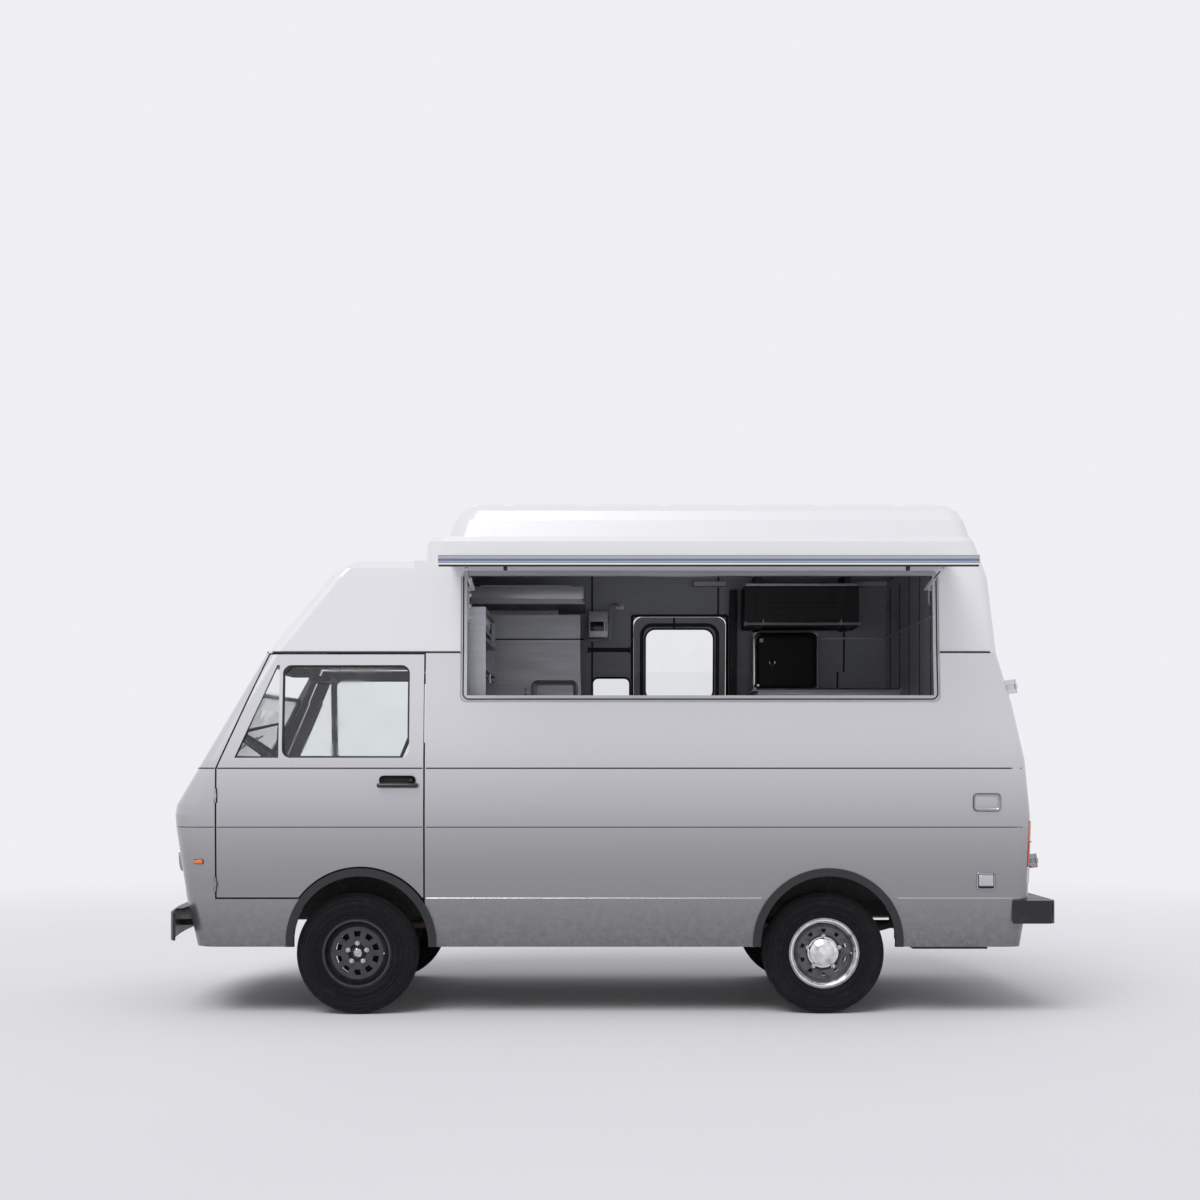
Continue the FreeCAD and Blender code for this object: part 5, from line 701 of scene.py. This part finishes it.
# Serving flap: a pan of white sheet with a rail along its free edge, whose blue and dark stripes
# are painted reflections of its aluminium profile. On its lower face lie a rubber gasket, three
# stiffening bars, two catches and a rubber bead along the rail.
flap_root = Vector((0, -0.9209, 2.408))
flap_out = Vector((0, -0.9925, -0.1219))
flap_up = Vector((0, -0.1219, 0.9925))


def on_flap(x, out, up):
    """A place on the raised flap: along the truck, out from the hinge line, up from its line."""
    return flap_root + Vector((x, 0, 0)) + flap_out * out + flap_up * up


def flap_bar(x_from, x_to, out_from, out_to, up_from, up_to, edge):
    """A bar that lies square to the raised flap."""
    bar = slab((x_from, out_from, up_from), (x_to, out_to, up_to), edge)
    for vertex in bar.data.vertices:
        vertex.co = on_flap(*vertex.co)
    return out_again(bar)


def banded(value, rows):
    """Colours in hard bands: each starts at its place between 0 and 1."""
    bands = node(value, "ValToRGB", {"Fac": value})
    bands.color_ramp.interpolation = "CONSTANT"
    for spot, (start, colour) in enumerate(rows):
        stop = bands.color_ramp.elements[0] if spot == 0 else bands.color_ramp.elements.new(start)
        stop.position = start
        stop.color = (*colour, 1)
    return bands.outputs["Color"]


rail_painted_reflections, shader, place = new_material("white_flap_with_painted_rail_reflections")
off = turned("SUBTRACT", place, flap_root)
up, out = (turned("DOT_PRODUCT", off, way) for way in (flap_up, flap_out))
# Painted reflection: the blue and dark bands across the rail paint what its aluminium profile mirrors. The white and
# grey bands are the sheet and the rail.
rows = ((0.0, (0.80, 0.80, 0.82)), (0.20, (0.05, 0.05, 0.06)), (0.28, (0.50, 0.51, 0.54)),
        (0.36, (0.13, 0.17, 0.34)), (0.60, (0.44, 0.45, 0.48)), (0.86, (0.16, 0.16, 0.18)), (0.92, (0.78, 0.78, 0.8)))
bands = banded(spread(up, 0.0, 0.05), rows)
stain = cloud(place, 3.0, 5.0)
sheet = blend(stain, (0.80, 0.80, 0.82), (0.71, 0.71, 0.73))
feed(shader, {"Base Color": blend(reckon("GREATER_THAN", out, 0.7942), sheet, bands),
              "Roughness": spread(stain, 0.0, 1.0, 0.25, 0.45),
              "Normal": bumped(stain, 0.2, 0.002), "Coat Weight": 0.3})
dress(rail_painted_reflections, "serving_flap")
corners = ((-0.715, 0.045), (1.882, 0.045), (1.882, 0.755), (-0.715, 0.755))
gasket = run([on_flap(x, out, -0.003) for x, out in corners], 0.0045, closed=True)
lip_bead = run([on_flap(x, 0.785, -0.003) for x in (-0.742, 0.5, 1.909)], 0.0062)
settle(joined([gasket, lip_bead]), "flap_gasket", rubber_strip, "serving_flap")
bars = [flap_bar(x - 0.022, x + 0.022, 0.07, 0.73, 0.006, 0.0195, 0.002) for x in (-0.06, 0.58, 1.22)]
settle(joined(bars), "flap_stiffeners", aluminium, "serving_flap")
catches = []
for x in (-0.42, 1.58):
    catches.append(flap_bar(x - 0.035, x + 0.035, 0.655, 0.697, -0.006, 0.001, 0.0015))
    catches.append(flap_bar(x - 0.010, x + 0.010, 0.665, 0.687, -0.030, -0.004, 0.003))
settle(joined(catches), "flap_catches", black_plastic, "serving_flap")

# Kitchen, front end: a tall steel cabinet with a split between its doors and a low rounded door,
# a lighter band on its hood, and the wall rack with a switch board and shelf rails.
light_steel = finish("light_steel", (0.70, 0.71, 0.73), (0.56, 0.57, 0.59), 0.4, metal=0.5, scale=2.0, grain=30,
                     depth=0.0002, stretch=(2, 2, 40))
split = slab((-0.766, 0.3070, 2.090), (-0.044, 0.3095, 2.098), 0.0008)
gap = run(oblong((-0.2245, 0.3088, 1.560), 0.137, 0.284, 0.034, 1), 0.0022, closed=True)
settle(joined([split, gap]), "cabinet_gaps", recess_black)
settle(slab((-0.357, 0.3045, 1.280), (-0.092, 0.3095, 1.840), 0.0015, corner=0.030), "cabinet_leaf", brushed_steel)
pull = run([(-0.396, 0.309, 1.742), (-0.396, 0.288, 1.748), (-0.396, 0.284, 1.758), (-0.396, 0.284, 1.786),
            (-0.396, 0.288, 1.796), (-0.396, 0.309, 1.802)], 0.0042)
knuckles = [run([(-0.364, 0.3045, z - 0.02), (-0.364, 0.3045, z + 0.02)], 0.0045) for z in (1.42, 1.72)]
settle(joined([pull, *knuckles]), "cabinet_pull", bright_steel)
settle(slab((-0.762, 0.1768, 2.325), (-0.048, 0.1795, 2.398), 0.001), "hood_band", light_steel)
settle(slab((-0.600, -0.774, 2.078), (-0.588, 0.114, 2.184), 0.002), "switch_board", light_steel)
wells = [slab((-0.5885, -0.735, 2.098), (-0.5865, -0.635, 2.166), 0.0008),
         slab((-0.5885, -0.120, 2.100), (-0.5865, 0.030, 2.160), 0.0008)]
settle(joined(wells), "board_wells", recess_black)
rockers = [slab((-0.5885, -0.50 + 0.07 * step, 2.112), (-0.5795, -0.475 + 0.07 * step, 2.150), 0.002)
           for step in range(5)]
settle(joined(rockers), "board_switches", white_plastic)
rails = [run([(-0.574, -0.775, z), (-0.574, 0.115, z)], 0.0048) for z in (1.825, 1.872)]
rails += [run([(-0.574, y, 1.80), (-0.574, y, 1.874)], 0.004) for y in (-0.77, -0.33, 0.11)]
settle(joined(rails), "rack_rails", bright_steel)

# Kitchen, far wall: a till unit on a steel bracket, a blind roller over the small window, a frame
# round the window of the entrance door, a dark post and the ledge and joints of the wall boards.
plate = laid_on(slab((-0.012, -0.030, 2.150), (0.092, 0.001, 2.290), 0.002), "roof_moulding", 1, 0.0, 1)
body = slab((-0.022, 0.740, 2.135), (0.102, 0.872, 2.302), 0.006, 3)
settle(joined([plate, body]), "till_unit", light_steel)
screen = slab((-0.012, 0.7375, 2.178), (0.074, 0.7405, 2.236), 0.001)
keys = [slab((0.083, 0.7375, 2.180 + 0.014 * step), (0.093, 0.7405, 2.188 + 0.014 * step), 0.001) for step in range(4)]
settle(joined([screen, *keys]), "till_screen", black_gloss)
arm = run([(0.176, 0.880, 2.345), (0.150, 0.780, 2.345), (0.128, 0.748, 2.338), (0.116, 0.740, 2.310),
           (0.116, 0.740, 2.140), (0.104, 0.740, 2.122), (-0.020, 0.740, 2.118)], 0.0075)
foot = slab((0.150, 0.868, 2.325), (0.202, 0.886, 2.365), 0.002)
settle(joined([arm, foot]), "till_bracket", light_steel)
tube = [(0, pole), (0, 0.017), (0.006, 0.018), (0.008, 0.0125), (0.256, 0.0125), (0.258, 0.018), (0.264, 0.017),
        (0.264, pole)]
roller = spun((-0.022, 0.868, 2.068), (1, 0, 0), tube, 24)
ends = [slab((x, 0.860, 2.048), (x + 0.007, 0.902, 2.088), 0.001) for x in (-0.026, 0.235)]
settle(joined([roller, *ends]), "blind_roller", black_plastic)
loop = close_set(oblong((0.555, 0, 1.976), 0.240, 0.250, 0.065, 1), 0.06)
ring = [touch("side_door", (place.x, 0, place.z), (0, 1, 0)) for place in loop]
settle(run(ring, 0.0115, 3, closed=True), "entrance_window_frame", black_plastic, "entrance_door")
post = slab((0.870, 0.845, 1.60), (0.915, 0.945, 2.44), 0.003)
for vertex in post.data.vertices:
    vertex.co.y -= 0.075 * (vertex.co.z - 1.60)
settle(post, "wall_post", black_plastic)
ledges = [slab((1.420, 0.872, 2.136), (1.862, 0.896, 2.147), 0.002),
          slab((1.853, -0.860, 2.136), (1.8655, 0.880, 2.147), 0.002)]
settle(joined(ledges), "wall_ledges", light_steel)
joints = [slab((1.8615, y - 0.002, 1.62), (1.8655, y + 0.002, 2.44), 0.0006) for y in (-0.66, -0.32, 0.02, 0.36, 0.70)]
settle(joined(joints), "board_joints", recess_black)
settle(run(oblong((1.861, -0.690, 2.275), 0.070, 0.060, 0.012, 0), 0.006, closed=True), "notice_frame", light_steel)

# Kitchen, counter: a steel top with a bright nosing, a black locker with a bright rounded rim, a
# round lock and a small plain tag, and a rail with end knobs under the high vent unit.
nosing = run([(0.990, 0.309, 1.7945), (1.860, 0.309, 1.7945)], 0.0055)
rail = run([(1.050, 0.3215, 1.742), (1.780, 0.3215, 1.742)], 0.0035)
settle(joined([nosing, rail]), "counter_nosing", bright_steel)
settle(slab((1.020, 0.6485, 1.812), (1.389, 0.6545, 2.148), 0.0015, corner=0.030), "locker_leaf", recess_black)
rim = run(oblong((1.2045, 0.6505, 1.980), 0.1935, 0.1755, 0.036, 1), 0.0058, closed=True)
lock = spun((1.120, 0.6485, 1.972), (0, -1, 0), [(-0.001, 0.013), (-0.001, 0.021), (0.004, 0.021), (0.006, 0.018),
                                                 (0.005, 0.014), (-0.001, 0.013)], 28)
latch = slab((1.022, 0.640, 1.822), (1.040, 0.650, 1.842), 0.002)
settle(joined([rim, lock, latch]), "locker_rim", bright_steel)
settle(slab((1.042, 0.6475, 2.100), (1.066, 0.6490, 2.124), 0.0005), "locker_tag", white_plastic)
knob = [(-0.004, pole), (-0.004, 0.010), (0.0, 0.0135), (0.010, 0.0135), (0.014, 0.010), (0.014, pole)]
tube = run([(0.955, 0.523, 2.205), (1.635, 0.523, 2.205)], 0.0085)
knobs = [spun((0.950, 0.523, 2.205), (-1, 0, 0), knob, 20), spun((1.640, 0.523, 2.205), (1, 0, 0), knob, 20)]
hooks = [slab((x, 0.515, 2.196), (x + 0.006, 0.545, 2.232), 0.0015) for x in (1.05, 1.53)]
top = slab((0.948, 0.531, 2.440), (1.642, 0.542, 2.455), 0.002)
settle(joined([tube, *knobs, *hooks, top]), "vent_unit_rail", light_steel)

# Cab chairs: two seats on steel boxes, each a sprung cushion and back in grey cloth over foam.
# The cloth is drawn in along piped seams. They take the place of the plain solids.


def stuffed(low, high, corner, lean, pull_in):
    """A foam block with rounded corners, swollen by air pressure under its cloth."""
    pad = slab(low, high, corner, 4)
    start_clean(pad)
    remesh = pad.modifiers.new("even", "REMESH")
    remesh.mode = "VOXEL"
    remesh.voxel_size = 0.010
    bpy.ops.object.modifier_apply(modifier=remesh.name)
    rest = [vertex.co.copy() for vertex in pad.data.vertices]
    cloth = pad.modifiers.new("air", "CLOTH")
    cloth.settings.use_pressure = True
    cloth.settings.uniform_pressure_force = 4.0
    cloth.settings.effector_weights.gravity = 0.0
    cloth.point_cache.frame_start = 1
    cloth.point_cache.frame_end = 16
    for step in range(1, 17):
        bpy.context.scene.frame_set(step)
    bpy.ops.object.modifier_apply(modifier=cloth.name)
    bpy.context.scene.frame_set(1)
    most = seam_wide = 0.014
    middle = sum(rest, Vector()) / len(rest)
    for vertex, home in zip(pad.data.vertices, rest):
        shift = vertex.co - home
        if shift.length > most:
            vertex.co = home + shift * (most / shift.length)
        place = vertex.co - middle
        for across, at, axis, depth in pull_in:
            near = abs(place[across] - at)
            if near < seam_wide:
                press = depth * (1 - near / seam_wide) ** 2
                vertex.co[axis] -= math.copysign(press, place[axis]) if abs(place[axis]) > 0.02 else 0
        vertex.co.x += lean * (vertex.co.z - low[2])
    smooth = pad.modifiers.new("soft", "SUBSURF")
    smooth.levels = 1
    smooth.render_levels = 1
    bpy.ops.object.modifier_apply(modifier=smooth.name)
    return pad


cloth_grey, shader, place = new_material("seat_cloth")
rib = node(place, "TexWave", {"Vector": place, "Scale": 60.0, "Distortion": 0.3}, bands_direction="Y").outputs["Fac"]
tone = blend(cloud(place, 9.0, 4.0), (0.10, 0.105, 0.12), (0.17, 0.17, 0.185))
height = reckon("ADD", rib, cloud(place, 900.0))
feed(shader, {"Base Color": blend(rib, (0.075, 0.078, 0.088), tone), "Roughness": 0.92,
              "Normal": bumped(height, 0.5, 0.0012), "Sheen Weight": 0.35})
piping = finish("seat_piping", (0.03, 0.03, 0.033), (0.05, 0.05, 0.053), 0.8, grain=600)
cushion = stuffed((-1.415, 0.360, 0.812), (-0.905, 0.822, 0.915), 0.040, 0.0,
                  ((1, 0.135, 2, 0.010), (1, -0.135, 2, 0.010)))
back = stuffed((-0.998, 0.368, 0.905), (-0.905, 0.814, 1.462), 0.038, 0.10,
               ((1, 0.125, 0, 0.010), (1, -0.125, 0, 0.010)))
for side, name in sides:
    for part, source in (("cushion", cushion), ("back", back)):
        piece = out_again(copied(source, across=side))
        settle(piece, "chair_" + part + "_" + name, cloth_grey, angle=60)
    centre = side * 0.591
    loop = [(x, centre + y, 0.864) for x, y in ((-1.418, -0.19), (-1.385, -0.225), (-0.935, -0.225), (-0.902, -0.19),
                                                (-0.902, 0.19), (-0.935, 0.225), (-1.385, 0.225), (-1.418, 0.19))]
    edge = [(-0.9535 + 0.10 * (z - 0.905), centre + y, z)
            for y, z in ((-0.19, 0.902), (-0.222, 0.94), (-0.222, 1.42), (-0.19, 1.463), (0.19, 1.463), (0.222, 1.42),
                         (0.222, 0.94), (0.19, 0.902))]
    seams = [run(points, 0.0042, closed=True, smooth=True) for points in (loop, edge)]
    settle(joined(seams), "chair_piping_" + name, piping)
    brace = [run([(-0.90, centre + y, 0.845), (-0.885, centre + y, 0.90), (-0.868, centre + y, 1.05)], 0.011)
             for y in (-0.20, 0.20)]
    pan = slab((-1.420, centre - 0.225, 0.801), (-0.895, centre + 0.225, 0.816), 0.004)
    settle(joined([*brace, pan]), "chair_frame_" + name, black_plastic)
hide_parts("cab_chairs")
bpy.data.objects.remove(cushion)
bpy.data.objects.remove(back)

# Cab fittings: gear lever with its boot, three pedals, sun visors, and on each door a trim card
# with an arm rest and a window crank. All are moulded or pressed and screwed in place.
stick = run([(-1.30, -0.19, 0.905), (-1.33, -0.195, 1.02), (-1.36, -0.20, 1.12)], 0.007)
ball = spun((-1.366, -0.201, 1.135), (-0.3, -0.05, 0.95), [(-0.022, pole), (-0.018, 0.012), (0.0, 0.022),
                                                           (0.016, 0.017), (0.022, pole)], 20)
boot = spun((-1.30, -0.19, 0.918), (0, 0, 1), [(-0.004, 0.001), (-0.004, 0.055), (0.010, 0.05), (0.016, 0.038),
                                               (0.022, 0.042), (0.030, 0.026), (0.036, 0.03), (0.048, 0.012),
                                               (0.048, 0.001)], 24)
settle(joined([stick, ball, boot]), "gear_lever", black_plastic)
pedals = []
for y in (-0.62, -0.51, -0.40):
    pedals.append(slab((-1.905, y - 0.026, 0.725), (-1.885, y + 0.026, 0.800), 0.004))
    pedals.append(run([(-1.90, y, 0.76), (-1.95, y, 0.85), (-1.97, y, 1.02)], 0.006))
settle(joined(pedals), "pedals", black_plastic)
visors = [slab((-1.700, y - 0.19, 1.835), (-1.575, y + 0.19, 1.853), 0.006, 3, corner=0.03, axis=2)
          for y in (-0.46, 0.46)]
settle(joined(visors), "sun_visors", black_plastic)
for side, name in sides:
    door = "cab_door_" + name
    card = slab((-1.83, side * 0.004, 0.83), (-0.99, side * -0.008, 1.25), 0.003, corner=0.04)
    settle(laid_on(card, door, 1, 0, side), "door_card_" + name, black_plastic, door)
    rest = slab((-1.42, side * -0.006, 1.045), (-1.12, side * -0.052, 1.085), 0.010, 3)
    knob = [(0, pole), (0, 0.022), (0.012, 0.02), (0.016, pole)]
    hub = spun((-1.55, side * -0.006, 1.00), (0, -side, 0), knob, 20)
    arm = slab((-1.55, side * -0.016, 0.990), (-1.44, side * -0.026, 1.010), 0.004)
    settle(laid_on(joined([rest, hub, arm]), door, 1, 0, side), "door_rest_" + name, black_plastic, door)

# Door seal: a black rubber profile pressed on the flange of the entrance. It closes the gap that
# the door leaves and stays on the body when the door swings.
leg = [(0.2545, 0.640 + 0.12 * step) for step in range(14)] + [(0.2545, 2.284)]
head = [(x, 2.2855) for x in (0.254, 0.40, 0.55, 0.70, 0.8555)]
trail = [(0.8565, z) for _, z in reversed(leg)]
sink = Vector((0, 0.004, 0))
seals = [run([touch("side_panel_right roof_moulding", (x, 0, z), (0, 1, 0)) - sink for x, z in part], 0.0085)
         for part in (leg, head, trail)]
settle(joined(seals), "entrance_seal", rubber_strip)

# Lamps: ribbed lens plastic over a reflector, orange below clear at the front and three colours
# at the rear, with bright rims round the headlamps and dark bars between the rear colours.


def ray_x(name, y, z):
    """The outer skin of the nose at a place across and up."""
    return touch(name, (-3, y, z), (1, 0, 0)).x


def lit_lens(name, rows, low, high, ribs):
    """Fluted plastic in bands of colour from a height to another, over a bright reflector."""
    made, shader, place = new_material(name)
    height = node(place, "SeparateXYZ", {0: place}).outputs["Z"]
    bands = banded(spread(height, low, high), rows)
    flute = node(place, "TexWave", {"Vector": place, "Scale": ribs}, bands_direction="Y").outputs["Fac"]
    grime = cloud(place, 40.0, 6.0)
    deep = blend(grime, bands, (0.25, 0.24, 0.23), blend_type="MULTIPLY")
    feed(shader, {"Base Color": blend(0.3, bands, deep),
                  "Roughness": spread(grime, 0.0, 1.0, 0.06, 0.3),
                  "Normal": bumped(flute, 0.8, 0.002), "Metallic": 0.45, "Coat Weight": 1.0})
    return made


clear, orange, red = (0.46, 0.47, 0.50), (0.80, 0.22, 0.02), (0.50, 0.012, 0.015)
dress(lit_lens("front_lens", ((0.0, orange), (0.4, clear)), 0.6, 0.9, 34.0), "front_lamps")
rows = ((0.0, (0.62, 0.62, 0.62)), (0.26, red), (0.66, (0.75, 0.19, 0.015)))
dress(lit_lens("tail_lens", rows, 0.706, 1.036, 45.0), "rear_lamps")
for side, name in sides:
    rim = []
    for step in range(36):
        turn = math.radians(10 * step)
        y, z = side * 0.560 + 0.099 * math.cos(turn), 0.8365 + 0.099 * math.sin(turn)
        rim.append((ray_x("grille", y, z) - 0.001, y, z))
    settle(run(rim, 0.0050, 3, closed=True), "headlamp_rim_" + name, bright_steel)
    borders = [slab((2.334, side * 0.958 - 0.020, z - 0.002), (2.3425, side * 0.958 + 0.020, z + 0.002), 0.0006)
               for z in (0.792, 0.924)]
    settle(joined(borders), "tail_lamp_bars_" + name, recess_black)

# Nose and tail: a blank number plate at each end, the rear one under its lamp, and two wipers on
# their spindles. The plates lie on the pressed panels, the wipers reach over the windscreen.
plate = slab((-0.004, -0.258, 0.566), (0.001, 0.258, 0.676), 0.001, corner=0.008, axis=0)
for vertex in plate.data.vertices:
    vertex.co.x += ray_x("front_panel", 0, vertex.co.z) - 0.004
settle(plate, "front_plate", white_plastic)
plate = slab((-0.001, -0.800, 0.690), (0.004, -0.300, 0.800), 0.001, corner=0.008, axis=0)
settle(laid_on(plate, "rear_door_left", 0, behind, -1), "rear_plate", white_plastic, "rear_door_left")
hood = slab((-0.002, -0.620, 0.808), (0.028, -0.480, 0.832), 0.006, 3, axis=0)
settle(laid_on(hood, "rear_door_left", 0, behind, -1), "rear_plate_lamp", black_plastic, "rear_door_left")
pivot = [(-0.006, pole), (-0.006, 0.014), (0.008, 0.012), (0.011, pole)]
wipers = []
for y in (-0.52, 0.10):
    foot = Vector((ray_x("front_panel", y, 1.366) - 0.004, y, 1.366))
    wipers.append(spun(foot, (-0.85, 0, 0.53), pivot, 18))
    tip = Vector((ray_x("body_glass", y + 0.20, 1.475) - 0.018, y + 0.20, 1.475))
    elbow = foot.lerp(tip, 0.35) + Vector((-0.014, 0, 0.004))
    wipers.append(run([foot + Vector((-0.008, 0, 0.006)), elbow, tip], 0.0045))
    blade = []
    for step in range(7):
        across, rise = y + 0.02 + 0.36 * step / 6, 1.435 + 0.080 * step / 6
        blade.append(Vector((ray_x("body_glass", across, rise) - 0.006, across, rise)))
    wipers.append(run(blade, 0.0048))
    wipers.append(run([point + Vector((-0.009, 0, 0.005)) for point in blade[1:6]], 0.0032))
settle(joined(wipers), "wipers", black_plastic)
